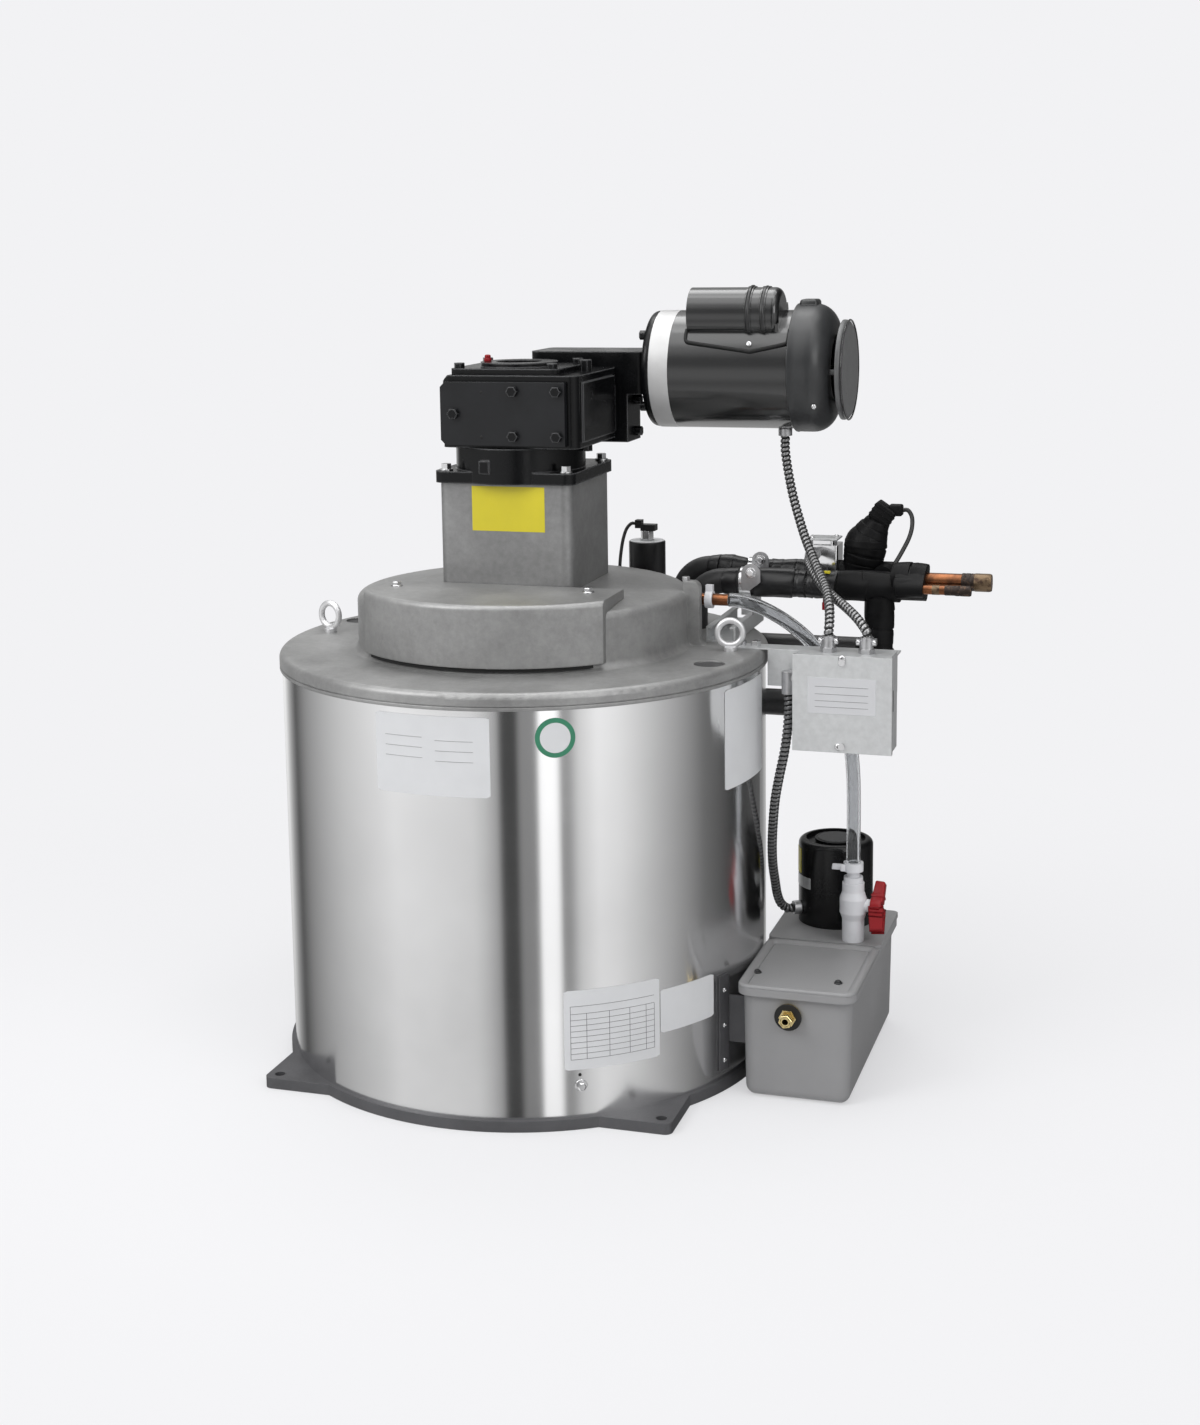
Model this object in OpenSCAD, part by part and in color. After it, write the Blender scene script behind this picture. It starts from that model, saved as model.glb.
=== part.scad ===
// Flake ice machine: a vertical drum freezer with a geared blade drive on top,
// a water tank with pump at the side and refrigerant pipework behind.
// Origin on the drum axis at floor level, +Z up, -Y front, +X towards the tank.

/* [Base] */
// Thickness of the base plate
base_t = 14.5; // [10:0.5:20]
// Rim of the base plate outside the jacket
base_rim = 6; // [4:0.5:10]
// Reach of the four mounting tabs outside the round part of the base plate
tab_reach = 60; // [56:1:66]
// Rounding of the tab corners
tab_corner_r = 10; // [4:1:16]
// Diameter of the mounting holes
mount_hole_d = 14; // [10:0.5:18]
// Distance of the mounting holes from the edge of the round part
mount_reach = 37; // [33:0.5:40]
// Diameter of the ice outlet in the base plate
mouth_d = 472; // [440:1:480]
// Height of the lip around the ice outlet
lip_h = 26; // [20:1:40]
// Thickness of the lip
lip_t = 5; // [3:0.5:7]
// Depth of the water trough behind the lip
trough_depth = 9; // [5:0.5:9]
// Width of the water trough from the lip to the freezing wall
trough_w = 13; // [9:0.5:17]

/* [Drum] */
// Thickness of the insulation between the freezing wall and the jacket
insulation_t = 57.9; // [50:0.1:64]
// Height of the jacket
jacket_h = 527; // [480:1:560]
// Sheet thickness of the jacket
jacket_wall = 1.5; // [1:0.1:3]
// Thickness of the freezing wall
evaporator_wall = 16; // [12:1:20]

/* [Top cover] */
// Rim of the cover flange outside the jacket
flange_rim = 3.5; // [2:0.5:8]
// Thickness of the cover flange
flange_t = 22; // [18:0.5:30]
// Rounding of the flange's top edge
flange_edge_r = 8; // [3:0.5:12]
// Diameter of the dome
dome_d = 452; // [446:1:458]
// Height of the dome above the flange
dome_h = 83.5; // [75:0.5:95]
// Wall thickness of the dome
dome_wall = 9; // [6:0.5:12]
// Rounding of the dome's top edge and of its foot
dome_edge_r = 10; // [4:0.5:12]
// Drop of the dome's top from its flat middle to its edge
dome_crown = 9; // [4:0.5:12]
// Diameter of the flat middle of the dome's top
dome_flat_d = 280; // [276:1:300]
// Wall thickness of the inspection cover
lid_wall = 7; // [5:0.5:9]
// Half width of the inspection cover
lid_half_w = 165; // [150:1:175]
// Gap under the inspection cover's skirt
lid_lift = 9.5; // [6:0.5:14]
// Outer diameter of the lifting eyes
eye_d = 42; // [36:1:48]
// Rod diameter of the lifting eyes
eye_rod_d = 8.5; // [6:0.5:10]
// Distance of the lifting eyes from the flange's edge
eye_inset = 43.5; // [36:0.5:50]
// Diameter of the foam plugs
plug_d = 40; // [30:1:44]
// Distance of the foam plugs from the flange's edge
plug_inset = 35.5; // [30:0.5:42]

/* [Pedestal] */
// Width of the pedestal
pedestal_w = 186; // [180:1:190]
// Depth of the pedestal
pedestal_d = 176; // [172:1:182]
// Height of the pedestal
pedestal_h = 142; // [120:1:160]
// Wall thickness of the pedestal
pedestal_wall = 9; // [6:0.5:14]
// Corner rounding of the pedestal
pedestal_r = 14; // [8:1:20]
// Offset of the pedestal behind the drum axis
pedestal_shift = 16; // [14:1:20]
// Thickness of the adapter plate
adapter_t = 15.5; // [12:0.5:20]
// Overhang of the adapter plate
adapter_rim = 5; // [2:0.5:8]
// Diameter of the adapter's round neck
neck_d = 175; // [150:1:178]
// Height of the adapter's round neck
neck_h = 32; // [26:1:40]

/* [Reducer] */
// Width of the gear housing
gear_w = 190; // [184:1:196]
// Depth of the gear housing
gear_d = 180; // [174:1:184]
// Height of the gear housing
gear_h = 96; // [90:1:104]
// Corner rounding of the gear housing
gear_r = 12; // [6:1:16]
// Slanted cut along the gear housing's upper left edge
gear_chamfer = 10; // [4:1:14]
// Thickness of the front cover plate
gear_cover_t = 10; // [6:0.5:14]
// Side of the square top cap
cap_side = 150; // [130:1:160]
// Diameter of the round boss on the top cap
cap_boss_d = 104; // [90:1:120]
// Width of the first-stage housing
stage_w = 166; // [155:1:170]
// Depth of the first-stage housing
stage_d = 92; // [88:1:100]

/* [Motor] */
// Diameter of the motor frame
motor_d = 162; // [156:1:168]
// Length of the painted motor frame
motor_len = 165; // [155:1:175]
// Width of the bare band beside the frame
band_w = 27; // [16:1:30]
// Thickness of the end bell
bell_t = 11.5; // [8:0.5:14]
// Length of the fan cover
fan_cover_len = 53; // [50:1:62]
// Wall thickness of the fan cover
fan_cover_wall = 3; // [2:0.5:4]
// Rounding of the fan cover's shoulder
fan_cover_r = 28; // [16:1:30]
// Diameter of the fan
fan_d = 132; // [100:1:140]
// Diameter of the dished end plate
end_plate_d = 136; // [120:1:140]
// Gap between the fan cover and the end plate
end_plate_gap = 9; // [6:0.5:14]
// Diameter of the motor shaft
motor_shaft_d = 16; // [14:0.5:20]
// Diameter of the capacitor cover
capacitor_d = 74; // [60:1:80]
// Length of the capacitor cover
capacitor_len = 126; // [112:1:135]
// Lean of the capacitor cover towards the front
capacitor_lean = 23; // [15:1:30]

/* [Blade drive] */
// Diameter of the main shaft
shaft_d = 44; // [38:1:50]
// Running clearance of a shaft in its bore
run_gap = 0.05; // [0.02:0.01:0.08]
// Wall thickness of the bearing bushes
bush_wall = 8; // [5:0.5:10]
// Number of teeth on the ice blade
tooth_count = 22; // [12:1:26]
// Clearance between the blade teeth and the freezing wall
blade_gap = 2; // [1:0.5:4]
// Diameter of the rotating water pan
pan_d = 404; // [360:1:410]

/* [Tank] */
// Width of the tank at its rim
tank_w = 144; // [130:1:150]
// Length of the tank at its rim
tank_len = 332; // [310:1:340]
// Height of the tank without its lid
tank_h = 144; // [130:1:160]
// Wall thickness of the tank
tank_wall = 5; // [3:0.5:7]
// Draft of the tank walls, measured at the floor
tank_draft = 3; // [1:0.5:8]
// Overhang of the lid
lid_rim = 6; // [4:0.5:7]
// Height of the lid's edge
lid_edge_h = 10; // [8:0.5:20]
// Height of the step across the lid
lid_step = 5; // [2:0.5:8]
// Diameter of the pump motor
pump_d = 104; // [90:1:108]
// Height of the pump motor
pump_h = 118; // [100:1:130]

/* [Water valve] */
// Outer diameter of the valve's sockets
socket_d = 30; // [26:0.5:32]
// Bore of the valve
valve_bore_d = 18; // [14:0.5:20]
// Diameter of the valve's ball
ball_d = 27; // [24:0.5:28]
// Length of the handle
handle_len = 66; // [50:1:80]
// Turn of the handle away from the open position
handle_turn = 30; // [0:1:60]

/* [Pipes and box] */
// Outer diameter of the insulated suction pipe
suction_d = 35; // [28:1:38]
// Outer diameter of the insulated liquid pipe
liquid_d = 27; // [22:1:32]
// Diameter of the large copper stub
suction_stub_d = 22.2; // [19:0.1:24]
// Diameter of the small copper stub
liquid_stub_d = 12.7; // [9.5:0.1:14]
// Diameter of the copper water inlet
inlet_d = 16; // [12:0.5:17]
// Diameter of the clear supply hose
hose_d = 19; // [16:0.5:20]
// Diameter of the flexible conduits
conduit_d = 13; // [10:0.5:15]
// Width of the junction box
box_w = 126; // [110:1:136]
// Depth of the junction box
box_d = 52; // [44:1:60]
// Height of the junction box
box_h = 128; // [110:1:140]
// Sheet thickness of the junction box and its bracket
sheet_t = 2; // [1.5:0.1:3]

/* [Hidden] */
$fn = 96;
// Small gap between pieces that sit in or on each other
seat = 0.3;
over = 1;

z_jacket = base_t + jacket_h;
z_flange = z_jacket + flange_t;
z_dome = z_flange + dome_h;
z_pedestal = z_dome + pedestal_h;
z_adapter = z_pedestal + adapter_t;
z_gear = z_adapter + neck_h;
z_gear_top = z_gear + gear_h;

mouth_r = mouth_d / 2;
evap_r = mouth_r + lip_t + trough_w;
jacket_r = evap_r + evaporator_wall + insulation_t + 2 * seat + jacket_wall;
base_r = jacket_r + base_rim;
base_square = sqrt(2) * (base_r + tab_reach);
mount_circle_d = 2 * (base_r + mount_reach);
dome_r = dome_d / 2;
flange_r = jacket_r + flange_rim;
eye_reach = flange_r - eye_inset;
plug_reach = flange_r - plug_inset;
shaft_r = shaft_d / 2;
bush_r = shaft_r + run_gap + bush_wall;

// Lower bearing
spider_t = 20;
spider_arm_w = 22;
spider_hub_h = 50;
hub_wall = 10;
z_spider = lip_h;

// Dome window, water inlet rib and plugs
dome_in_r = dome_r - dome_wall;
window_w = 290;
window_top = 24;
window_sill = 14;
boss_drop = 44;
boss_wall = 12;
rib_y = 22;
rib_t = 14;
rib_reach = 242;
rib_rise = 4;
inlet_y = rib_y + rib_t + 12;
inlet_z = z_flange + 59.5;
inlet_end_x = 277;
inlet_start_x = 140;
plug_turn = -17.5;
plug_depth = 10;
lid_front_gap = 1;

// Reducer and motor places
gear_x = 10;
gear_y = 15;
gear_left = gear_x - gear_w / 2;
gear_right = gear_x + gear_w / 2;
gear_front = gear_y - gear_d / 2;
gear_back = gear_y + gear_d / 2;
stage_right = gear_right + 40;
stage_low_right = stage_right - 25;
motor_y = gear_back + 55;
motor_z = z_gear + 90.5;
stage_z0 = z_gear + 58;
stage_h = 59;
motor_r = motor_d / 2;
bell_x = stage_right + seat;
band_x = bell_x + bell_t;
frame_x = band_x + band_w;
fan_x = frame_x + motor_len;
fan_end_x = fan_x + fan_cover_len;
fan_cover_or = motor_r + 3;
motor_shaft_r = motor_shaft_d / 2;
shaft_blind = 70;
capacitor_r = capacitor_d / 2;
capacitor_x = frame_x + 24;
capacitor_off = motor_r + 1.5;
cap_y = motor_y - capacitor_off * sin(capacitor_lean);
cap_z = motor_z + capacitor_off * cos(capacitor_lean);

// Tank places
tank_left = max(jacket_r + lid_rim + 2 * seat, base_r + over + seat - tank_draft);
tank_x = tank_left + tank_w / 2;
tank_y = 27;
tank_r = 20;
tank_foot_r = 14;
tank_front = tank_y - tank_len / 2;
z_lid = tank_h + seat;
lid_plate_t = 6;
z_lid_front = z_lid + lid_plate_t;
z_lid_rear = z_lid_front + lid_step;
lid_split_y = tank_y + 18;
pump_x = tank_x - 3;
pump_y = tank_y + 119;
pump_column_r = 14;
volute_r = 30;
volute_h = 26;
volute_z = tank_wall + 8;
impeller_r = 23;
impeller_h = 12;
pump_shaft_r = 5;
valve_x = tank_x + 37.4;
valve_y = tank_y + 35;
z_ball = z_lid_rear + 50;
valve_h = 82;
barb_h = 28;
stem_r = 5;
fitting_x = tank_x - 9;
fitting_z = 116;
float_pin_r = 2.5;
float_pin_y = tank_front + tank_wall + 26;
float_arm_len = 70;
float_d = 46;

// Junction box places
box_x0 = flange_r + 51.5;
box_front = -37;
box_back = box_front + box_d;
box_z1 = 571;
box_z0 = box_z1 - box_h;
box_mid_y = box_front + box_d / 2;
connector_x = [box_x0 + 40, box_x0 + 90];
bracket_t = sheet_t;
bracket_left = flange_r - 49.5;
bracket_deep = 30;
bracket_drop = 48;
pump_gland_z = 176;
pump_gland_turn = 30;
gland_len = 10;

// Pipe places
pipe_y = 150;
suction_z = z_flange + 68;
liquid_y = 200;
liquid_z = z_flange + 78;
suction_leg_x = 203;
liquid_leg_x = 172;
bend_r = 42;
tee_x = 464;
stub_z = suction_z + 10.5;
drop_z = 462;
return_y = 215;
return_z = z_jacket - 13.5;
suction_end_x = 528;
liquid_stub_y = 122;
liquid_stub_z = z_flange + 71;
suction_stub_x = 616;
liquid_stub_x = 592;
rail_x = flange_r - 69.5;
rail_w = 41;
rail_h = 21;
rail_wall = 2.5;
rail_y0 = 52;
rail_len = 172;
clamp_x = rail_x + 22;
block_x = 377;
block_w = 46;
block_deep = 42;
block_low = 10;
bulb_rise = 41;
bulb_lean = 28;
sensor_turn = 70.64;
sensor_reach = flange_r - 41;
sensor_x = sensor_reach * cos(sensor_turn);
sensor_y = sensor_reach * sin(sensor_turn);
sensor_r = 27;
sensor_h = 102;

// Routes of the hose, conduits and cables, each from its start fitting to its end
hose_route = [[277, 48, 623], [288, 48, 623], [304, 48, 620], [322, 49, 614], [342, 51, 604], [360, 54, 592],
    [377, 57, 578], [393, 60, 561], [408, 61, 538], [422, 62, 508], [434, 62, 470], [441, 62, 430],
    [445, 62, 388], [446, 62, 345], [446, 62, 305], [446, 62, 265.6]];
motor_route = [[330, 160, 836], [330, 160, 815], [335, 157, 785], [343, 150, 754], [354, 138, 725],
    [366, 122, 700], [379, 103, 680], [392, 80, 664], [405, 55, 651], [415, 31, 639], [422, 9, 625],
    [425, -6, 608], [425, -11, 599], [425, -11, 592]];
aux_route = [[365, 168.7, 668], [365, 158, 668], [368, 138, 667], [376, 115, 660], [389, 92, 649],
    [405, 69, 639], [423, 46, 631], [441, 24, 624], [458, 5, 615], [470, -7, 605],
    [475, -11, 598], [475, -11, 592]];
pump_route = [[372, -11, 512], [372, -11, 490], [370, -10, 462], [365, -7, 430], [357, -1, 396],
    [349, 9, 360], [343, 23, 322], [338, 40, 286], [335, 58, 254], [334, 76, 226], [333.5, 92, 202],
    [336, 104, 185], [344, 110.4, 176], [351, 114.5, 176]];
actuator_route = [[486, 200, 731], [494, 200, 731], [500, 197, 722], [501, 191, 708], [498, 183, 694],
    [492, 174, 680], [486, 166, 668], [481, 160, 659]];
sensor_path = [[-17, 0, 126.5], [-24, 0, 126.5], [-31, -2, 118.5], [-35, -6, 104.5], [-37, -10, 88.5],
    [-38, -14, 70.5], [-38, -17, 48.5], [-37, -20, 26.5], [-37, -20, 3]];
sensor_route = [for (p = sensor_path) p + [sensor_x, sensor_y, z_flange]];
cable_d = 6;
sensor_cable_d = 5;
conduit_sides = 10;
cable_sides = 8;

// Shared shapes

module rounded_rect(w, d, r) {
    square([w - 2 * r, d], center = true);
    square([w, d - 2 * r], center = true);
    for (sx = [-1, 1], sy = [-1, 1])
        translate([sx * (w / 2 - r), sy * (d / 2 - r)]) circle(r);
}

module rounded_block(w, d, h, r) {
    linear_extrude(h) rounded_rect(w, d, r);
}

module ring(outer, inner, h) {
    difference() {
        cylinder(r = outer, h = h);
        translate([0, 0, -over]) cylinder(r = inner, h = h + 2 * over);
    }
}

// Half profile of a turned piece with a rounded top edge
module turned_profile(r, h, edge) {
    square([r, h - edge]);
    square([r - edge, h]);
    translate([r - edge, h - edge]) intersection() {
        circle(edge);
        square(edge);
    }
}

// Half profile with a flat middle that slopes down to a rounded edge
module crowned_profile(r, h, edge) {
    rim = h - dome_crown;
    turned_profile(r, rim, edge);
    polygon([[0, rim - edge / 2], [r - edge, rim - edge / 2], [r - edge, rim], [dome_flat_d / 2, h], [0, h]]);
}

module along_x(x, y, z) {
    translate([x, y, z]) rotate([0, 90, 0]) children();
}

module along_y(x, y, z) {
    translate([x, y, z]) rotate([-90, 0, 0]) children();
}

// Quarter bend in the XZ plane that joins a pipe along X to a pipe along Z
module pipe_bend(r, bend) {
    rotate([90, 0, 0]) rotate_extrude(angle = 90) translate([bend, 0]) circle(r);
}

module hex_head(across, h) {
    cylinder(d = across, h = h, $fn = 6);
}

function unit(v) = v / norm(v);
function heading(p, i) = unit(p[min(i + 1, len(p) - 1)] - p[max(i - 1, 0)]);
function side_of(p, i, away) = unit(cross(away, heading(p, i)));
function ring_point(p, i, r, a, away) = let (s = side_of(p, i, away), u = cross(heading(p, i), s))
    p[i] + r * (cos(a) * s + sin(a) * u);

// Round cord swept along its route, with its seams turned to face away from one direction
module swept_cord(route, d, sides, away) {
    last = (len(route) - 1) * sides;
    polyhedron(
        points = [for (i = [0:len(route) - 1], k = [0:sides - 1])
            ring_point(route, i, d / 2, 360 * k / sides, away)],
        faces = concat(
            [[for (k = [0:sides - 1]) k]],
            [[for (k = [sides - 1:-1:0]) last + k]],
            [for (i = [0:len(route) - 2], k = [0:sides - 1], half = [0, 1])
                let (n = (k + 1) % sides, a = i * sides, b = a + sides)
                half == 0 ? [a + k, b + k, b + n] : [a + k, b + n, a + n]]));
}

// Drum

module base_ring() {
    color("dimgray") difference() {
        union() {
            linear_extrude(base_t) {
                rounded_rect(base_square, base_square, tab_corner_r);
                circle(base_r);
            }
            cylinder(r = mouth_r + lip_t, h = lip_h);
        }
        translate([0, 0, -over]) cylinder(r = mouth_r, h = lip_h + 2 * over);
        translate([0, 0, base_t - trough_depth]) ring(evap_r - lip_t, mouth_r + lip_t, lip_h);
        for (a = [45:90:315])
            rotate(a) translate([mount_circle_d / 2, 0, -over])
                cylinder(d = mount_hole_d, h = base_t + 2 * over);
    }
}

module bottom_spider() {
    color("gray") translate([0, 0, z_spider]) difference() {
        union() {
            cylinder(r = bush_r + seat + hub_wall, h = spider_hub_h);
            for (a = [45:90:315])
                rotate(a) translate([0, -spider_arm_w / 2, 0])
                    cube([mouth_r + lip_t - seat, spider_arm_w, spider_t]);
        }
        translate([0, 0, -over]) cylinder(r = bush_r + seat, h = spider_hub_h + 2 * over);
    }
}

module shaft_bearings() {
    color("darkgoldenrod") {
        translate([0, 0, z_spider]) ring(bush_r, shaft_r + run_gap, spider_hub_h);
        translate([0, 0, z_dome - boss_drop]) ring(bush_r, shaft_r + run_gap, boss_drop);
    }
}

module outer_jacket() {
    color("silver") translate([0, 0, base_t]) ring(jacket_r, jacket_r - jacket_wall, jacket_h);
}

module insulation() {
    color("khaki") translate([0, 0, base_t])
        ring(jacket_r - jacket_wall - seat, evap_r + evaporator_wall + seat, jacket_h);
}

module evaporator_wall() {
    color("lightsteelblue") translate([0, 0, base_t]) ring(evap_r + evaporator_wall, evap_r, jacket_h);
}

// Flange and dome as one casting with an edge groove, a filleted foot and a rounded top
module cover_profile() {
    groove = 1.2;
    difference() {
        turned_profile(flange_r, flange_t, flange_edge_r);
        translate([flange_r - groove, flange_t / 5]) square(groove);
    }
    translate([0, flange_t - over]) crowned_profile(dome_r, dome_h + over, dome_edge_r);
    translate([dome_r - over, flange_t - over]) difference() {
        square(dome_edge_r + over);
        translate([dome_edge_r + over, dome_edge_r + over]) circle(dome_edge_r);
    }
}

// Upright rib beside the water inlet
module inlet_rib() {
    rib_h = dome_h + rib_rise;
    rib_x = dome_in_r + 2;
    translate([0, rib_y + rib_t, z_flange - over]) rotate([90, 0, 0]) linear_extrude(rib_t) {
        translate([rib_x, 0]) turned_profile(rib_reach - rib_x, rib_h + over, dome_edge_r);
        translate([rib_reach - over, 0]) difference() {
            square(dome_edge_r + over);
            translate([dome_edge_r + over, dome_edge_r + over]) circle(dome_edge_r);
        }
    }
}

module top_cover() {
    color("gray") difference() {
        union() {
            translate([0, 0, z_jacket]) rotate_extrude() cover_profile();
            inlet_rib();
        }
        difference() {
            translate([0, 0, z_jacket - over]) rotate_extrude()
                crowned_profile(dome_in_r, flange_t + dome_h - dome_wall + over, dome_edge_r - 2);
            translate([0, 0, z_dome - boss_drop]) cylinder(r = bush_r + seat + boss_wall, h = boss_drop);
        }
        translate([0, 0, z_dome - boss_drop - over]) cylinder(r = bush_r + seat, h = boss_drop + 2 * over);
        translate([-window_w / 2, -dome_r - over, z_flange + window_sill])
            cube([window_w, dome_r / 2, dome_h - window_sill - window_top]);
        along_x(inlet_start_x, inlet_y, inlet_z)
            cylinder(d = inlet_d + 2 * seat, h = inlet_end_x - inlet_start_x);
        for (a = [plug_turn, plug_turn + 180])
            rotate(a) translate([plug_reach, 0, z_flange - plug_depth])
                cylinder(d = plug_d + 2 * seat, h = flange_t);
    }
}

module inspection_cover() {
    skirt_r = dome_r + over + lid_wall;
    cover_h = dome_h + lid_wall - lid_lift;
    front = pedestal_d / 2 - pedestal_shift + lid_front_gap;
    color("gray") translate([0, 0, z_flange + lid_lift]) intersection() {
        rotate_extrude() difference() {
            turned_profile(skirt_r, cover_h, lid_wall);
            translate([0, -over]) crowned_profile(dome_r + over, cover_h - lid_wall + over, dome_edge_r);
        }
        translate([-lid_half_w, -skirt_r - over, -over])
            cube([2 * lid_half_w, skirt_r + over - front, cover_h + 2 * over]);
    }
}

module eye_bolt(turn) {
    collar_h = 5;
    ring_r = (eye_d - eye_rod_d) / 2;
    rotate(turn) {
        translate([0, 0, eye_d / 2 + collar_h - 2]) rotate([90, 0, 0]) rotate_extrude()
            translate([ring_r, 0]) circle(d = eye_rod_d, $fn = 32);
        cylinder(d = eye_rod_d * 2, h = collar_h);
    }
}

module eye_bolts() {
    color("silver") {
        translate([eye_reach, 0, z_flange]) eye_bolt(15);
        translate([-eye_reach, 0, z_flange]) eye_bolt(-20);
    }
}

module foam_plugs() {
    color("black") for (a = [plug_turn, plug_turn + 180])
        rotate(a) translate([plug_reach, 0, z_flange - plug_depth]) cylinder(d = plug_d, h = plug_depth - 2);
}

// Pedestal and reducer

module pedestal() {
    inner_w = pedestal_w - 2 * pedestal_wall;
    inner_d = pedestal_d - 2 * pedestal_wall;
    color("gray") translate([0, pedestal_shift, z_dome]) difference() {
        rounded_block(pedestal_w, pedestal_d, pedestal_h, pedestal_r);
        translate([0, 0, -over]) rounded_block(inner_w, inner_d, pedestal_h + 2 * over, pedestal_r / 2);
    }
}

module adapter_plate() {
    lug_w = 14;
    lug_reach = 2;
    plate_w = pedestal_w + 2 * adapter_rim;
    plate_d = pedestal_d + 2 * adapter_rim;
    color("black") difference() {
        union() {
            translate([0, pedestal_shift, z_pedestal]) rounded_block(plate_w, plate_d, adapter_t, pedestal_r);
            translate([0, 0, z_pedestal]) cylinder(d = neck_d, h = adapter_t + neck_h);
            translate([-lug_w * 2, -neck_d / 2 - lug_reach, z_adapter - over])
                cube([lug_w, neck_d / 8, neck_h / 2 + over]);
        }
        translate([0, 0, z_pedestal - over]) cylinder(r = shaft_r + 8, h = adapter_t + neck_h + 2 * over);
    }
}

module reducer_housing() {
    pad_t = 3;
    pad_inset = 20;
    shaft_depth = gear_h / 2;
    color("black") difference() {
        union() {
            translate([gear_x, gear_y, z_gear]) rounded_block(gear_w, gear_d, gear_h, gear_r);
            translate([gear_right - over, gear_front + pad_inset, z_gear + 8])
                cube([pad_t + over, gear_d - 2 * pad_inset, gear_h - 18]);
        }
        translate([0, 0, z_gear - over]) cylinder(r = shaft_r + run_gap, h = shaft_depth + over);
        translate([gear_left, gear_y, z_gear_top]) rotate([0, 45, 0])
            cube([gear_chamfer * sqrt(2), gear_d + 2 * over, gear_chamfer * sqrt(2)], center = true);
    }
}

// Plate with two cut corners on its left edge
module reducer_front_cover() {
    chamfer = 7;
    x0 = gear_left + 3;
    x1 = gear_right - 14;
    z0 = z_gear + 4;
    z1 = z_gear_top - 8;
    right_half = [[x0 + chamfer, z0], [x1, z0], [x1, z1], [x0 + chamfer, z1]];
    left_edge = [[x0, z1 - chamfer], [x0, z0 + chamfer]];
    color("black") translate([0, gear_front, 0]) rotate([90, 0, 0]) linear_extrude(gear_cover_t)
        polygon(concat(right_half, left_edge));
}

module reducer_top_cap() {
    plate_t = 8;
    boss_h = 6;
    recess_depth = 5;
    color("black") translate([0, 0, z_gear_top]) difference() {
        union() {
            rounded_block(cap_side, cap_side - 20, plate_t, 8);
            cylinder(d = cap_boss_d, h = plate_t + boss_h);
        }
        translate([0, 0, plate_t + boss_h - recess_depth]) cylinder(d = cap_boss_d * 0.6, h = boss_h);
    }
}

module primary_housing() {
    low_z = z_gear - 8;
    low_h = stage_z0 - low_z + over;
    low_d = 62;
    flange_w = 14;
    stage_left = stage_right - stage_w;
    color("black") difference() {
        union() {
            translate([stage_left + stage_w / 2, gear_back + seat + stage_d / 2, stage_z0])
                rounded_block(stage_w, stage_d, stage_h, 10);
            translate([stage_low_right - 76, gear_back + seat, low_z]) cube([70, low_d - 8, low_h]);
            translate([stage_low_right - flange_w, gear_back + seat, low_z]) cube([flange_w, low_d, low_h]);
        }
        along_x(stage_right - shaft_blind, motor_y, motor_z)
            cylinder(r = motor_shaft_r + run_gap, h = shaft_blind + over);
    }
}

// Motor

module motor_end_bell() {
    color("black") along_x(bell_x, motor_y, motor_z) difference() {
        rotate_extrude() translate([0, bell_t]) mirror([0, 1]) turned_profile(motor_r - 1, bell_t, 7);
        translate([0, 0, -over]) cylinder(r = motor_shaft_r + run_gap, h = bell_t + 2 * over);
    }
}

module motor_band() {
    color("silver") along_x(band_x, motor_y, motor_z) ring(motor_r, motor_shaft_r + run_gap, band_w);
}

module motor_frame() {
    color("dimgray") along_x(frame_x, motor_y, motor_z) ring(motor_r, motor_shaft_r + run_gap, motor_len);
}

// Cup with a rounded shoulder, an air inlet in its end and a flat lug on top
module fan_cover() {
    inlet_r = end_plate_d / 3;
    lug_len = 32;
    lug_w = 38;
    lug_rise = 12;
    color("dimgray") difference() {
        union() {
            along_x(fan_x, motor_y, motor_z) rotate_extrude()
                turned_profile(fan_cover_or, fan_cover_len, fan_cover_r);
            translate([fan_x + 2, motor_y - lug_w / 2, motor_z])
                cube([lug_len, lug_w, fan_cover_or + lug_rise]);
        }
        along_x(fan_x - over, motor_y, motor_z) rotate_extrude()
            turned_profile(fan_cover_or - fan_cover_wall, fan_cover_len - fan_cover_wall + over,
                fan_cover_r - fan_cover_wall);
        along_x(fan_x, motor_y, motor_z) cylinder(r = inlet_r, h = fan_cover_len + over);
    }
}

module fan_end_plate() {
    plate_t = 9;
    standoff_r = end_plate_d / 3 + 5;
    color("dimgray") along_x(fan_end_x, motor_y, motor_z) {
        translate([0, 0, end_plate_gap]) rotate_extrude()
            turned_profile(end_plate_d / 2, plate_t, plate_t - 2);
        for (a = [30:120:270])
            rotate(a) translate([standoff_r, 0, 0]) cylinder(r = 4, h = end_plate_gap + over);
    }
}

// Half-round can on a flat skirt that follows the motor frame, with two raised rings near one end
module capacitor_cover() {
    ring_x = [capacitor_len - 46, capacitor_len - 26];
    ring_w = 9;
    skirt_w = capacitor_d - 4;
    skirt_h = capacitor_r * 0.75;
    color("black") difference() {
        union() {
            along_x(capacitor_x, cap_y, cap_z) {
                rotate_extrude() turned_profile(capacitor_r, capacitor_len, 10);
                for (x = ring_x) translate([0, 0, x]) cylinder(r = capacitor_r + 1.5, h = ring_w);
            }
            translate([capacitor_x, motor_y, motor_z]) rotate([capacitor_lean, 0, 0])
                translate([0, -skirt_w / 2, motor_r - skirt_h])
                    cube([capacitor_len, skirt_w, skirt_h + capacitor_off - motor_r + 2]);
        }
        along_x(frame_x - over, motor_y, motor_z) cylinder(r = motor_r + seat, h = motor_len + 4 * over);
    }
}

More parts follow.
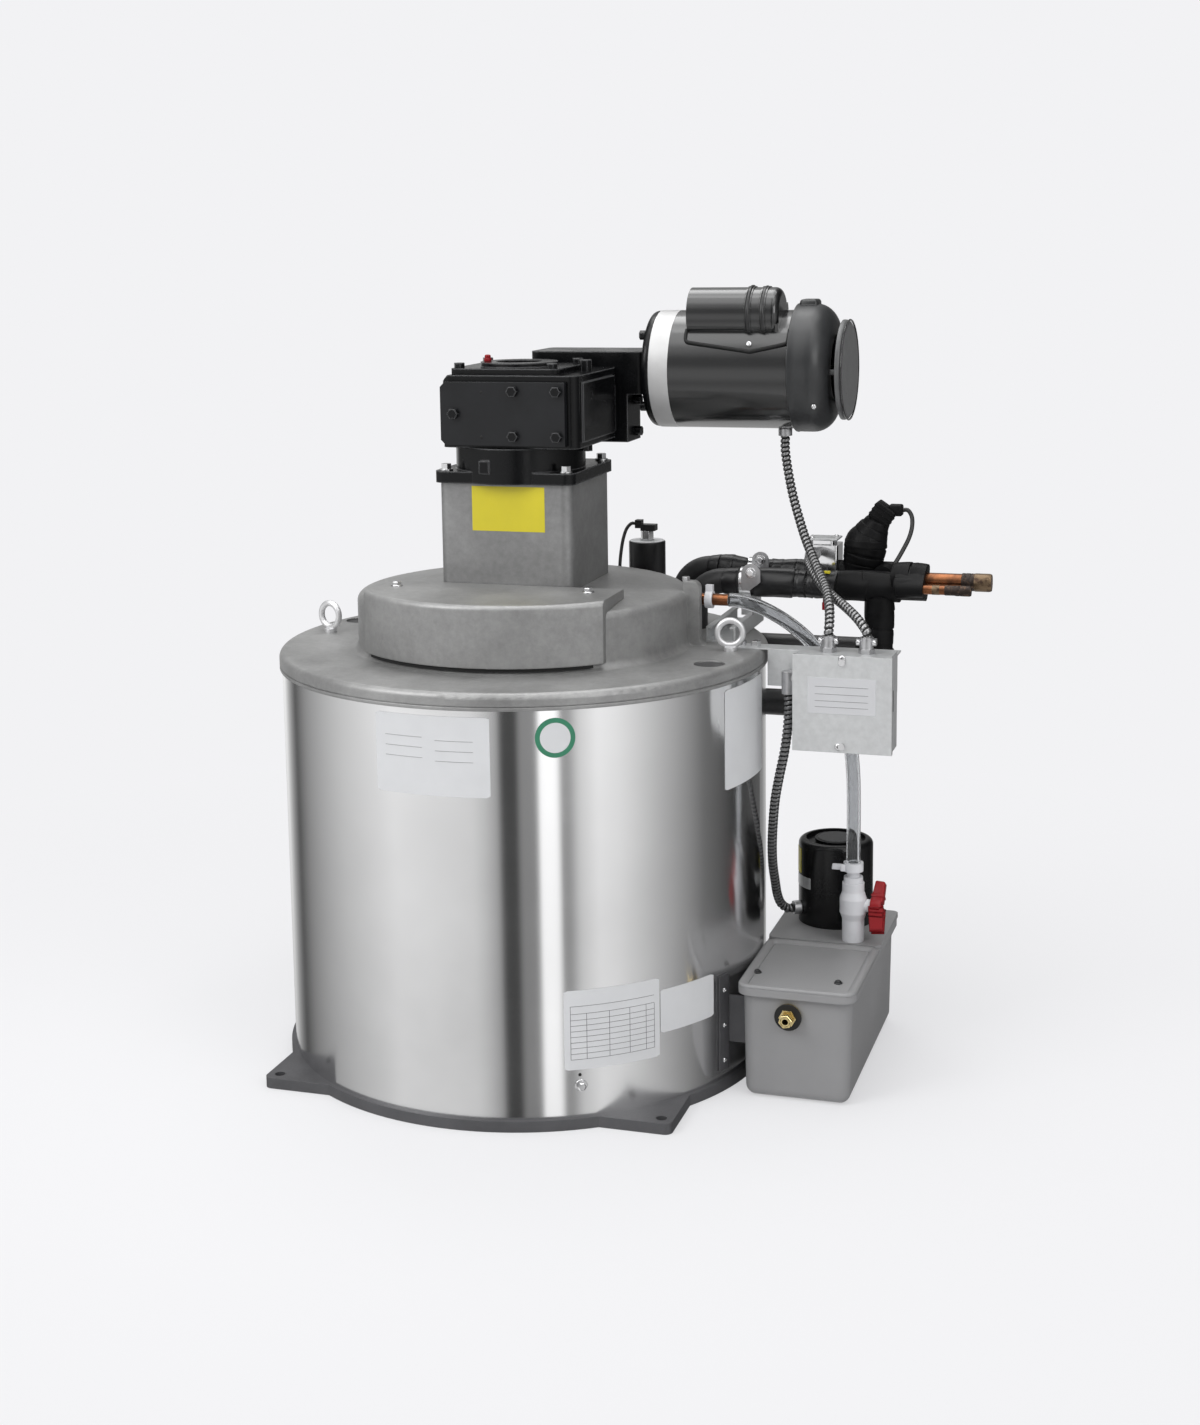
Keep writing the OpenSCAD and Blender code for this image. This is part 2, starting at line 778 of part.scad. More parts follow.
module motor_shaft() {
    color("silver") along_x(stage_right - shaft_blind + seat, motor_y, motor_z)
        cylinder(r = motor_shaft_r, h = fan_end_x - 22 - stage_right + shaft_blind);
}

module motor_fan() {
    blade_count = 8;
    hub_r = motor_shaft_r + 7;
    hub_len = 30;
    blade_t = 3;
    fan_r = fan_d / 2;
    disc_t = 4;
    color("black") along_x(fan_x + 8, motor_y, motor_z) difference() {
        union() {
            cylinder(r = hub_r, h = hub_len);
            cylinder(r = fan_r - 12, h = disc_t);
            for (k = [0:blade_count - 1])
                rotate(360 * k / blade_count) translate([hub_r - over, -blade_t / 2, 0])
                    cube([fan_r - hub_r, blade_t, hub_len]);
        }
        translate([0, 0, -over]) cylinder(r = motor_shaft_r + run_gap / 2, h = hub_len + 2 * over);
    }
}

// Turning blade set

module main_shaft() {
    z0 = z_spider;
    z1 = z_gear + gear_h / 2 - 2;
    color("silver") translate([0, 0, z0]) cylinder(r = shaft_r, h = z1 - z0);
}

// One wedge tooth that leans across the bar
module blade_tooth(depth, h) {
    rotate([0, 0, 90]) rotate([0, 90, 0]) linear_extrude(h * 0.6, center = true)
        polygon([[-h / 2, 0], [h / 2, 0], [h * 0.3, depth], [-h * 0.05, depth]]);
}

module ice_blade() {
    bar_t = 22;
    bar_w = 34;
    tooth_depth = 14;
    z0 = z_spider + spider_hub_h + 24;
    z1 = z_jacket - 24;
    pitch = (z1 - z0) / tooth_count;
    bar_in = evap_r - blade_gap - tooth_depth - bar_t;
    collar_h = 40;
    collar_r = shaft_r + 16;
    arm_w = 24;
    color("silver") difference() {
        union() {
            translate([-bar_w / 2, bar_in, z0]) cube([bar_w, bar_t, z1 - z0]);
            for (k = [0:tooth_count - 1])
                translate([(k % 3 - 1) * 8, bar_in + bar_t - over, z0 + pitch * (k + 0.5)])
                    blade_tooth(tooth_depth, pitch * 0.9);
            for (z = [z0 + 10, z1 - collar_h - 10]) {
                translate([0, 0, z]) cylinder(r = collar_r, h = collar_h);
                translate([-arm_w / 2, 0, z]) cube([arm_w, bar_in + over, collar_h]);
            }
        }
        translate([0, 0, z0]) cylinder(r = shaft_r + run_gap, h = z1 - z0);
    }
}

module squeegee() {
    strip_t = 6;
    strip_w = 26;
    z0 = z_spider + spider_hub_h + 60;
    strip_h = jacket_h - 260;
    reach = evap_r - 2 * seat;
    arm_h = 26;
    collar_z = z0 + strip_h / 2;
    color("firebrick") rotate(60) difference() {
        union() {
            translate([-strip_t / 2, reach - strip_w, z0]) cube([strip_t, strip_w - over, strip_h]);
            translate([-9, 0, collar_z]) cube([18, reach - strip_w + 8, arm_h]);
            translate([0, 0, collar_z]) cylinder(r = shaft_r + 14, h = arm_h);
        }
        translate([0, 0, z0]) cylinder(r = shaft_r + run_gap, h = strip_h);
    }
}

// Shallow pan that turns with the shaft and feeds three drip spouts
module water_pan() {
    z0 = z_jacket + 8;
    floor_t = 3;
    rim_h = 22;
    wall = 3;
    pan_r = pan_d / 2;
    spout_r = 7;
    spout_drop = 30;
    color("silver") difference() {
        union() {
            translate([0, 0, z0]) cylinder(r = pan_r, h = rim_h);
            for (a = [150:120:390])
                rotate(a) translate([pan_r - 14, 0, z0 - spout_drop])
                    cylinder(r = spout_r, h = spout_drop + over);
        }
        translate([0, 0, z0 + floor_t]) ring(pan_r - wall, shaft_r + 14, rim_h);
        translate([0, 0, z0 - over]) cylinder(r = shaft_r + run_gap, h = rim_h + 2 * over);
        for (a = [150:120:390])
            rotate(a) translate([pan_r - 14, 0, z0 - spout_drop - over])
                cylinder(r = spout_r - 2, h = spout_drop + rim_h);
    }
}

// Water supply

module inlet_tube() {
    color("chocolate") along_x(inlet_start_x, inlet_y, inlet_z)
        ring(inlet_d / 2, inlet_d / 2 - 1, inlet_end_x - inlet_start_x);
}

module supply_hose() {
    color("lightgray") swept_cord(hose_route, hose_d, conduit_sides, [0, 1, 0]);
}

module hose_clips() {
    clip_w = 10;
    color("white") {
        along_x(inlet_end_x - 32, inlet_y, inlet_z) ring(inlet_d / 2 + 4, inlet_d / 2 + seat, clip_w);
        translate([inlet_end_x - 32, inlet_y - 4, inlet_z + inlet_d / 2 + 3]) cube([clip_w, 8, 9]);
    }
}

module tank_form(inset, floor_z, top_z) {
    w = tank_w - 2 * inset;
    d = tank_len - 2 * inset;
    r = tank_r - inset;
    foot = tank_foot_r - inset;
    hull() {
        for (sx = [-1, 1], sy = [-1, 1])
            translate([sx * (w / 2 - tank_draft - foot), sy * (d / 2 - tank_draft - foot), floor_z + foot])
                sphere(foot, $fn = 32);
        translate([0, 0, top_z - over]) linear_extrude(over) rounded_rect(w, d, r, $fn = 32);
    }
}

module tank() {
    color("gray") difference() {
        translate([tank_x, tank_y, 0]) tank_form(0, 0, tank_h);
        translate([tank_x, tank_y, 0]) tank_form(tank_wall, tank_wall, tank_h + over);
        along_y(fitting_x, tank_front - over, fitting_z) cylinder(r = 9 + seat, h = tank_wall * 4);
    }
}

module tank_lid() {
    w = tank_w + 2 * lid_rim;
    d = tank_len + 2 * lid_rim;
    rear_d = tank_y + d / 2 - lid_split_y;
    inner_w = tank_w + 2 * seat + 2 * over;
    inner_d = tank_len + 2 * seat + 2 * over;
    hole_h = lid_edge_h + lid_step + 2 * over;
    color("gray") difference() {
        union() {
            translate([tank_x, tank_y, z_lid_front - lid_edge_h]) rounded_block(w, d, lid_edge_h, tank_r);
            translate([tank_x, lid_split_y + rear_d / 2, z_lid_front - over])
                rounded_block(w, rear_d, lid_step + over, tank_r / 2);
        }
        translate([tank_x, tank_y, z_lid_front - lid_edge_h - over])
            rounded_block(inner_w, inner_d, lid_edge_h - lid_plate_t + over, tank_r);
        translate([pump_x, pump_y, z_lid - over]) cylinder(r = pump_column_r + seat, h = hole_h);
        translate([valve_x, valve_y, z_lid - over]) cylinder(r = valve_bore_d / 2 + 3 + seat, h = hole_h);
    }
}

// Sheet strap: a strip riveted to the jacket and a tab along the tank's side
module tank_bracket() {
    strap_t = 2.5;
    strap_z = 12;
    strap_h = 130;
    tab_z = 62;
    tab_h = 64;
    a1 = asin((tank_front + 29) / jacket_r);
    a0 = a1 - 3.5;
    strap_r = jacket_r + seat + strap_t;
    x1 = tank_left - seat;
    y1 = -jacket_r * sin(-a1);
    color("dimgray") {
        translate([0, 0, base_t + strap_z]) intersection() {
            ring(strap_r, jacket_r + seat, strap_h);
            linear_extrude(strap_h)
                polygon([[0, 0], 2 * jacket_r * [cos(a0), sin(a0)], 2 * jacket_r * [cos(a1), sin(a1)]]);
        }
        translate([jacket_r * cos(a1) + 2, y1, tab_z]) cube([x1 - jacket_r * cos(a1) - 2, strap_t, tab_h]);
    }
}

module pump_housing() {
    pump_r = pump_d / 2;
    recess_r = pump_r * 0.8;
    volute_top = volute_z + volute_h;
    color("black") translate([pump_x, pump_y, 0]) difference() {
        union() {
            translate([0, 0, z_lid_rear]) rotate_extrude() turned_profile(pump_r, pump_h, 8);
            translate([0, 0, volute_top - over])
                cylinder(r = pump_column_r, h = z_lid_rear - volute_top + 2 * over);
            translate([0, 0, volute_z]) cylinder(r = volute_r, h = volute_h);
        }
        translate([0, 0, z_lid_rear + pump_h - 5]) ring(recess_r, recess_r * 0.7, pump_h);
        translate([0, 0, volute_z + 6]) cylinder(r = impeller_r + 2, h = impeller_h + 4);
        translate([0, 0, volute_z - over]) cylinder(r = impeller_r * 0.6, h = volute_h / 2);
        translate([0, 0, volute_z + 6]) cylinder(r = pump_shaft_r + run_gap, h = z_lid_rear - volute_z);
    }
}

module pump_impeller() {
    vane_count = 6;
    shaft_top = z_lid_rear - 4;
    z0 = volute_z + 8;
    color("dimgray") translate([pump_x, pump_y, z0]) {
        cylinder(r = pump_shaft_r, h = shaft_top - z0);
        cylinder(r = impeller_r, h = 3);
        for (k = [0:vane_count - 1])
            rotate(360 * k / vane_count) translate([pump_shaft_r - over, -1.5, 0])
                cube([impeller_r - pump_shaft_r, 3, impeller_h]);
    }
}

// Ball valve with a bulged middle, hose tail, clamp collar and a dip tube through the lid
module valve_body() {
    socket_r = socket_d / 2;
    bulge_r = ball_d / 2 + 5;
    stem_reach = 24;
    half = ball_d / 2 + 6;
    z0 = z_lid_rear;
    tail_z = z0 + valve_h;
    dip = 90;
    color("white") translate([valve_x, valve_y, 0]) difference() {
        union() {
            translate([0, 0, z0]) cylinder(r = socket_r, h = valve_h);
            translate([0, 0, z_ball - half]) cylinder(r1 = socket_r, r2 = bulge_r, h = half / 2);
            translate([0, 0, z_ball - half / 2]) cylinder(r = bulge_r, h = half);
            translate([0, 0, z_ball + half / 2]) cylinder(r1 = bulge_r, r2 = socket_r, h = half / 2);
            along_x(0, 0, z_ball) cylinder(r = stem_r + 4, h = stem_reach);
            translate([0, 0, tail_z - over]) cylinder(r = socket_r - 2, h = 8 + over);
            translate([0, 0, tail_z + 8 - over]) cylinder(r = hose_d / 2 - 1, h = barb_h - 16 + over);
            translate([0, 0, tail_z + barb_h - 12]) cylinder(r = hose_d / 2 + 4, h = 12);
            translate([0, 0, z0 - dip]) cylinder(r = valve_bore_d / 2 + 3, h = dip + over);
        }
        translate([0, 0, z0 - dip - over])
            cylinder(d = valve_bore_d - 4, h = dip + valve_h + barb_h + 2 * over);
        translate([0, 0, z0 + 6]) cylinder(d = valve_bore_d, h = valve_h - 6);
        translate([0, 0, z_ball]) sphere(d = ball_d + 2 * run_gap);
        along_x(0, 0, z_ball) cylinder(r = stem_r + run_gap, h = stem_reach + over);
    }
}

module valve_ball() {
    stem_len = 30;
    color("white") translate([valve_x, valve_y, z_ball]) rotate([-handle_turn, 0, 0]) difference() {
        union() {
            sphere(d = ball_d);
            along_x(0, 0, 0) cylinder(r = stem_r, h = stem_len);
        }
        translate([0, 0, -ball_d]) cylinder(d = valve_bore_d - 2, h = 2 * ball_d);
    }
}

// Two-winged paddle on the stem, swept back towards its ends
module valve_handle() {
    hub_len = 9;
    wing_t = 9;
    wing_w = 24;
    x0 = valve_x + 24 + seat;
    color("red") translate([x0, valve_y, z_ball]) rotate([-handle_turn, 0, 0]) difference() {
        union() {
            along_x(0, 0, 0) cylinder(r = 10, h = hub_len);
            for (s = [0, 180])
                rotate([s, 0, 0]) rotate([0, 12, 0]) translate([0, -wing_w / 2, 0]) {
                    cube([wing_t, wing_w, handle_len / 2 - wing_w / 2]);
                    along_x(0, wing_w / 2, handle_len / 2 - wing_w / 2) cylinder(d = wing_w, h = wing_t);
                }
        }
        along_x(-20, 0, 0) cylinder(r = stem_r + run_gap, h = 60);
    }
}

// Brass bulkhead fitting with its sealing washer outside and the float's clevis inside
module water_fitting() {
    clevis_t = 4;
    clevis_gap = 7;
    out = 22;
    socket_depth = 20;
    color("goldenrod") {
        along_y(fitting_x, tank_front - out, fitting_z) difference() {
            union() {
                cylinder(r = 6.5, h = out + tank_wall + 14);
                translate([0, 0, 4]) hex_head(16, 8);
                translate([0, 0, out - 9]) hex_head(23, 5);
                translate([0, 0, out - 4]) cylinder(r = 17, h = 4 - seat);
                translate([0, 0, out]) cylinder(r = 9, h = tank_wall + 2);
                translate([0, 0, out + tank_wall + 3]) cylinder(r = 14, h = 6);
            }
            translate([0, 0, -over]) cylinder(r = 4, h = socket_depth + over);
            cylinder(r = 2.8, h = out + 12);
        }
        for (s = [-1, 1])
            translate([fitting_x + s * (clevis_gap + clevis_t) / 2 - clevis_t / 2, tank_front + tank_wall + 6,
                fitting_z - 6]) cube([clevis_t, 25, 12]);
        along_x(fitting_x - clevis_gap / 2 - clevis_t, float_pin_y, fitting_z)
            cylinder(r = float_pin_r, h = clevis_gap + 2 * clevis_t);
    }
}

module float_arm() {
    arm_w = 6;
    drop = 22;
    color("dimgray") difference() {
        union() {
            along_x(fitting_x - arm_w / 2, float_pin_y, fitting_z) cylinder(r = 6, h = arm_w);
            translate([fitting_x - arm_w / 2, float_pin_y, fitting_z]) rotate([-15, 0, 0])
                translate([0, 0, -4]) cube([arm_w, float_arm_len, 7]);
            translate([fitting_x, float_pin_y + float_arm_len + 8, fitting_z - drop - float_d / 4])
                rotate_extrude() turned_profile(float_d / 2, float_d * 0.7, 8);
        }
        along_x(fitting_x - arm_w, float_pin_y, fitting_z) cylinder(r = float_pin_r + run_gap, h = 2 * arm_w);
    }
}

// Junction box and conduits

module junction_box() {
    knockout_d = 16;
    color("silver") difference() {
        translate([box_x0, box_front, box_z0]) cube([box_w, box_d, box_h]);
        translate([box_x0 + sheet_t, box_front - over, box_z0 + sheet_t])
            cube([box_w - 2 * sheet_t, box_d - sheet_t + over, box_h - 2 * sheet_t]);
        for (x = connector_x)
            translate([x, box_mid_y, box_z1 - 2 * sheet_t]) cylinder(d = knockout_d, h = 4 * sheet_t);
    }
}

module box_cover() {
    lap = 8;
    color("silver") translate([box_x0 - sheet_t - seat, box_front - sheet_t - seat, box_z0 - seat]) {
        cube([box_w + 2 * (sheet_t + seat), sheet_t, box_h + 2 * seat]);
        for (x = [0, box_w + sheet_t + 2 * seat]) translate([x, 0, 0]) cube([sheet_t, lap, box_h + 2 * seat]);
    }
}

// Angle on the cover flange with a hanging plate that carries the box
module box_bracket() {
    plate_x0 = flange_r + 4;
    right = box_x0 + box_w;
    color("silver") {
        translate([bracket_left, box_back, z_flange]) cube([right - bracket_left, bracket_deep, bracket_t]);
        translate([plate_x0, box_back, z_flange - bracket_drop])
            cube([right - plate_x0, bracket_t, bracket_drop + over]);
    }
}

module straight_connector(x) {
    translate([x, box_mid_y, box_z1]) {
        hex_head(22, 6);
        cylinder(r = conduit_d / 2 + 2.5, h = 21);
        for (s = [-1, 1]) translate([s * (conduit_d / 2 + 4) - 2.5, -5, 11]) cube([5, 10, 8]);
    }
}

module conduit_fittings() {
    r = conduit_d / 2 + 3;
    elbow_x = box_x0 - 13;
    elbow_z = box_z0 + 69;
    color("silver") {
        for (x = connector_x) straight_connector(x);
        translate([elbow_x, box_mid_y, elbow_z]) cylinder(r = r, h = 30);
        along_x(elbow_x, box_mid_y, elbow_z + 22)
            cylinder(r = r - 1, h = box_x0 - sheet_t - 2 * seat - elbow_x);
        translate([330, motor_y, motor_z - motor_r - gland_len]) cylinder(r = r, h = gland_len - seat);
        translate([pump_x, pump_y, pump_gland_z]) rotate(pump_gland_turn)
            along_x(-pump_d / 2 - seat - gland_len, 0, 0) cylinder(r = r, h = gland_len);
        along_y(365, liquid_y - block_deep / 2 - seat - gland_len, liquid_z + 26.5)
            cylinder(r = r, h = gland_len);
    }
}

module conduit_motor() {
    color("gray") swept_cord(motor_route, conduit_d, conduit_sides, [1, 0, 0]);
}

module conduit_aux() {
    color("gray") swept_cord(aux_route, conduit_d, conduit_sides, [1, 0, 0]);
}

module conduit_pump() {
    color("gray") swept_cord(pump_route, conduit_d, conduit_sides, [1, -1, 0]);
}

// Pipework

module insulated_pipes() {
    sr = suction_d / 2;
    lr = liquid_d / 2;
    drum_x = sqrt(pow(jacket_r, 2) - pow(pipe_y - sr, 2)) + 2 * over;
    return_x = sqrt(pow(flange_r, 2) - pow(return_y - sr - 1, 2)) + over;
    color("black") {
        along_x(suction_leg_x + bend_r, pipe_y, suction_z)
            cylinder(r = sr, h = suction_end_x - suction_leg_x - bend_r);
        translate([suction_leg_x + bend_r, pipe_y, suction_z - bend_r]) rotate([0, -90, 0])
            pipe_bend(sr, bend_r);
        translate([suction_leg_x, pipe_y, z_flange]) cylinder(r = sr, h = suction_z - bend_r - z_flange);
        translate([tee_x, pipe_y, drop_z + bend_r]) cylinder(r = sr + 1, h = suction_z - drop_z - bend_r);
        translate([tee_x - bend_r, pipe_y, drop_z + bend_r]) rotate([0, 90, 0]) pipe_bend(sr + 1, bend_r);
        along_x(drum_x, pipe_y, drop_z) cylinder(r = sr + 1, h = tee_x - bend_r - drum_x);
        along_x(return_x, return_y, return_z) cylinder(r = sr + 1, h = tee_x - bend_r - return_x);
        translate([tee_x - bend_r, return_y - bend_r, return_z])
            rotate([-90, 0, 0]) pipe_bend(sr + 1, bend_r);
        along_y(tee_x, pipe_y, return_z) cylinder(r = sr + 1, h = return_y - bend_r - pipe_y);
        along_x(liquid_leg_x + bend_r, liquid_y, liquid_z)
            cylinder(r = lr, h = block_x - block_w / 2 - seat - liquid_leg_x - bend_r);
        translate([liquid_leg_x + bend_r, liquid_y, liquid_z - bend_r]) rotate([0, -90, 0])
            pipe_bend(lr + 3, bend_r);
        translate([liquid_leg_x, liquid_y, z_flange]) cylinder(r = lr + 3, h = liquid_z - bend_r - z_flange);
        hull() {
            along_x(suction_end_x - 42, pipe_y, stub_z) cylinder(r = sr + 4, h = 42, $fn = 32);
            along_x(suction_end_x - 36, liquid_stub_y, liquid_stub_z) cylinder(r = 11, h = 36, $fn = 32);
        }
    }
}

// Two-piece strut clamps around the pipes
module pipe_clamps() {
    clamp_w = 16;
    wall = 3;
    color("silver") {
        along_x(clamp_x - clamp_w, pipe_y, suction_z)
            ring(suction_d / 2 + seat + wall, suction_d / 2 + seat, clamp_w);
        along_x(clamp_x - clamp_w, liquid_y, liquid_z)
            ring(liquid_d / 2 + seat + wall, liquid_d / 2 + seat, clamp_w);
        translate([clamp_x - clamp_w, pipe_y - 2, z_flange + rail_h])
            cube([clamp_w, 4, suction_z - suction_d / 2 - 2 * seat - z_flange - rail_h]);
        translate([clamp_x - clamp_w, liquid_y - 2, z_flange + rail_h])
            cube([clamp_w, 4, liquid_z - liquid_d / 2 - 2 * seat - z_flange - rail_h]);
    }
}

// Open channel with turned-in lips
module pipe_rails() {
    lip = 8;
    color("silver") translate([rail_x - rail_w / 2, rail_y0, z_flange]) difference() {
        cube([rail_w, rail_len, rail_h]);
        translate([rail_wall, -over, rail_wall])
            cube([rail_w - 2 * rail_wall, rail_len + 2 * over, rail_h - 2 * rail_wall]);
        translate([lip, -over, rail_wall]) cube([rail_w - 2 * lip, rail_len + 2 * over, rail_h]);
    }
}

module valve_block() {
    block_h = 50;
    top_h = 6;
    color("silver") translate([block_x, liquid_y, liquid_z - block_low]) {
        rounded_block(block_w, block_deep, block_h, 4);
        translate([0, 0, block_h - over]) rounded_block(block_w - 14, block_deep - 12, top_h + over, 4);
    }
}

module actuator() {
    r = 29;
    x0 = block_x + block_w / 2 + seat;
    color("black") {
        along_x(x0, liquid_y, liquid_z) cylinder(r = 17, h = tee_x - x0 + 14);
        translate([x0 + r, liquid_y, liquid_z]) hull() {
            cylinder(r = r - 4, h = 10, $fn = 32);
            translate([6, 0, bulb_rise]) sphere(r, $fn = 32);
        }
        translate([x0 + r + 6, liquid_y, liquid_z + bulb_rise]) rotate([0, bulb_lean, 0])
            cylinder(r = 15, h = 38);
        along_y(tee_x, pipe_y + suction_d / 2 + over + seat, liquid_z)
            cylinder(r = 15, h = liquid_y - pipe_y - suction_d / 2);
    }
}

// Moulded plugs of the actuator and of the sensor
module cable_plugs() {
    color("black") {
        translate([block_x + block_w / 2 + seat + 35, liquid_y, liquid_z + bulb_rise])
            rotate([0, bulb_lean, 0]) translate([-11, -11, 38 + seat]) cube([22, 22, 16]);
        translate([472, liquid_y - 7, liquid_z + 82.5]) cube([14, 14, 14]);
        translate([sensor_x - 8, sensor_y - 8, z_flange + sensor_h + 15 + seat]) cube([22, 16, 9]);
        translate([sensor_x - 17, sensor_y - 6, z_flange + 120.5]) cube([9 + over, 12, 12]);
        translate([sensor_x - 37, sensor_y - 20, z_flange]) cylinder(r = 6, h = 3);
    }
}

module actuator_cable() {
    color("black") swept_cord(actuator_route, cable_d, cable_sides, [0, 1, 0]);
}

module copper_stubs() {
    suction_len = suction_stub_x - suction_end_x;
    liquid_len = liquid_stub_x - suction_end_x;
    color("chocolate") {
        along_x(suction_end_x, pipe_y, stub_z) cylinder(d = suction_stub_d, h = suction_len);
        along_x(suction_end_x, liquid_stub_y, liquid_stub_z) cylinder(d = liquid_stub_d, h = liquid_len);
    }
}

module sensor_body() {
    color("black") translate([sensor_x, sensor_y, z_flange]) {
        rotate_extrude() turned_profile(sensor_r, sensor_h, 2);
        translate([0, 0, sensor_h]) hex_head(16, 15);
    }
}

module sensor_cable() {
    color("black") swept_cord(sensor_route, sensor_cable_d, cable_sides, [0, 1, 0]);
}

// Fasteners

module bright_fasteners() {
    head_h = 7;
    bolt_inset = 9;
    bolt_x = pedestal_w / 2 - bolt_inset;
    bolt_y = pedestal_d / 2 - bolt_inset;
    color("silver") {
        for (sx = [-1, 1], sy = [-1, 1])
            translate([sx * bolt_x, pedestal_shift + sy * bolt_y, z_adapter]) {
                cylinder(r = 9, h = 2);
                hex_head(14, 2 + head_h);
            }
        for (p = [[-138, -116], [127, -108]])
            translate([p[0], p[1], z_dome + lid_wall]) cylinder(r = 5, h = 3);
        translate([rib_reach - 20, rib_y + rib_t / 2, z_dome + rib_rise]) hex_head(11, 5);
        for (x = [bracket_left + 14, bracket_left + 34])
            translate([x, box_back + bracket_deep / 2, z_flange + bracket_t]) hex_head(14, 7);
        for (z = [box_z0 + 8, box_z1 - 8])
            along_y(box_x0 + box_w / 2, box_front - sheet_t - seat - 3, z) cylinder(r = 4.5, h = 3);
    }
}

module black_bolts() {
    head = 15;
    head_h = 7;
    cover_y = gear_front - gear_cover_t - head_h;
    color("black") {
        for (p = [[-63, 46], [20, 76], [80, 76], [20, 17], [80, 17]])
            along_y(p[0], cover_y, z_gear + p[1]) cylinder(d = head, h = head_h, $fn = 6);
        for (sx = [-1, 1], sy = [-1, 1])
            translate([sx * (cap_side / 2 - 10), sy * (cap_side / 2 - 20), z_gear_top + 8])
                hex_head(head, head_h);
        for (z = [z_gear + 4, z_gear + 48])
            along_x(stage_low_right, gear_back + 44, z) hex_head(13, 8);
        for (a = [45:90:315])
            along_x(bell_x - 8, motor_y + 69 * cos(a), motor_z + 69 * sin(a)) hex_head(13, 8);
        translate([gear_right - 14, gear_front + 84, z_gear_top]) hex_head(17, 16);
        translate([gear_right - 10, gear_front + 72, z_gear - 9]) hex_head(15, 9);
    }
}

base_ring();
bottom_spider();
shaft_bearings();
outer_jacket();
insulation();
evaporator_wall();
top_cover();
inspection_cover();
eye_bolts();
foam_plugs();
pedestal();
adapter_plate();
reducer_housing();
reducer_front_cover();
reducer_top_cap();
primary_housing();
motor_end_bell();
motor_band();
motor_frame();
fan_cover();
fan_end_plate();
capacitor_cover();
motor_shaft();
motor_fan();
main_shaft();
ice_blade();
squeegee();
water_pan();
inlet_tube();
supply_hose();
hose_clips();
tank();
tank_lid();
tank_bracket();
pump_housing();
pump_impeller();
valve_body();
valve_handle();
valve_ball();
water_fitting();
float_arm();
junction_box();
box_cover();
box_bracket();
conduit_fittings();
conduit_motor();
conduit_aux();
conduit_pump();
insulated_pipes();
pipe_clamps();
pipe_rails();
valve_block();
actuator();
cable_plugs();
actuator_cable();
copper_stubs();
sensor_body();
sensor_cable();
bright_fasteners();
black_bolts();
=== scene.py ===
import math

import bmesh
import bpy
from mathutils import Matrix, Vector


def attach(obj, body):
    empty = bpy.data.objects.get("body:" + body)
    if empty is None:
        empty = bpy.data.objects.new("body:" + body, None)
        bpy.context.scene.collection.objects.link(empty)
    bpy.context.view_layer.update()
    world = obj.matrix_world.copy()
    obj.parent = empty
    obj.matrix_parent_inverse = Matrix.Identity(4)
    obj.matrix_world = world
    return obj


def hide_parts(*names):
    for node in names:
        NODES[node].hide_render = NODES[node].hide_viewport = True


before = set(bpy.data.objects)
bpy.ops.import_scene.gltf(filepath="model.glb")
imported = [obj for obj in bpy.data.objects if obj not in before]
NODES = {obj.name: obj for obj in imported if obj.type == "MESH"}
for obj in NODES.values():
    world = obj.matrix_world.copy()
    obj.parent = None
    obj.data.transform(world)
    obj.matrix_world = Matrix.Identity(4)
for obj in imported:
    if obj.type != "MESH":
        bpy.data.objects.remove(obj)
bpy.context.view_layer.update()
scene = bpy.context.scene
scene.view_settings.view_transform = "Standard"
MM = 0.001

# Sizes of the part that several pieces share, in millimetres
JACKET_R = 330.0
COVER_R = 226.0
MOTOR_Y, MOTOR_Z = 160, 927
PUMP_R = 52.0
PUMP_AXIS = (405.6, 146)
SENSOR_AXIS = (97, 276)
TEE_X = 402

BACKDROP = (0.888, 0.888, 0.905, 1)


# ---------------------------------------------------------------- camera
# Fitted to the photograph: angles in degrees, place in metres, lengths in pixels of the photograph
CAMERA_TURN, CAMERA_PITCH, CAMERA_ROLL = 17.38, 9.01, -0.78
CAMERA_PLACE = (0.9473, -2.6752, 1.124)
PHOTO_HEIGHT_PX = 1425
FOCAL_LENGTH_PX = 2104
SHIFT_DOWN_PX = 152.5
SENSOR_MM = 36


def make_camera():
    turn, pitch, roll = (math.radians(v) for v in (CAMERA_TURN, CAMERA_PITCH, CAMERA_ROLL))
    right = Vector((math.cos(turn), math.sin(turn), 0))
    ahead = Vector((-math.sin(turn) * math.cos(pitch), math.cos(turn) * math.cos(pitch),
                    -math.sin(pitch)))
    up = right.cross(ahead)
    right2 = right * math.cos(roll) + up * math.sin(roll)
    up2 = up * math.cos(roll) - right * math.sin(roll)
    data = bpy.data.cameras.new("photo_camera")
    data.sensor_width = SENSOR_MM
    data.lens = FOCAL_LENGTH_PX * SENSOR_MM / PHOTO_HEIGHT_PX
    data.shift_y = -SHIFT_DOWN_PX / PHOTO_HEIGHT_PX
    data.clip_end = 200
    cam = bpy.data.objects.new("photo_camera", data)
    rows = Matrix((right2, up2, -ahead)).transposed().to_4x4()
    cam.matrix_world = Matrix.Translation(CAMERA_PLACE) @ rows
    scene.collection.objects.link(cam)
    scene.camera = cam


make_camera()


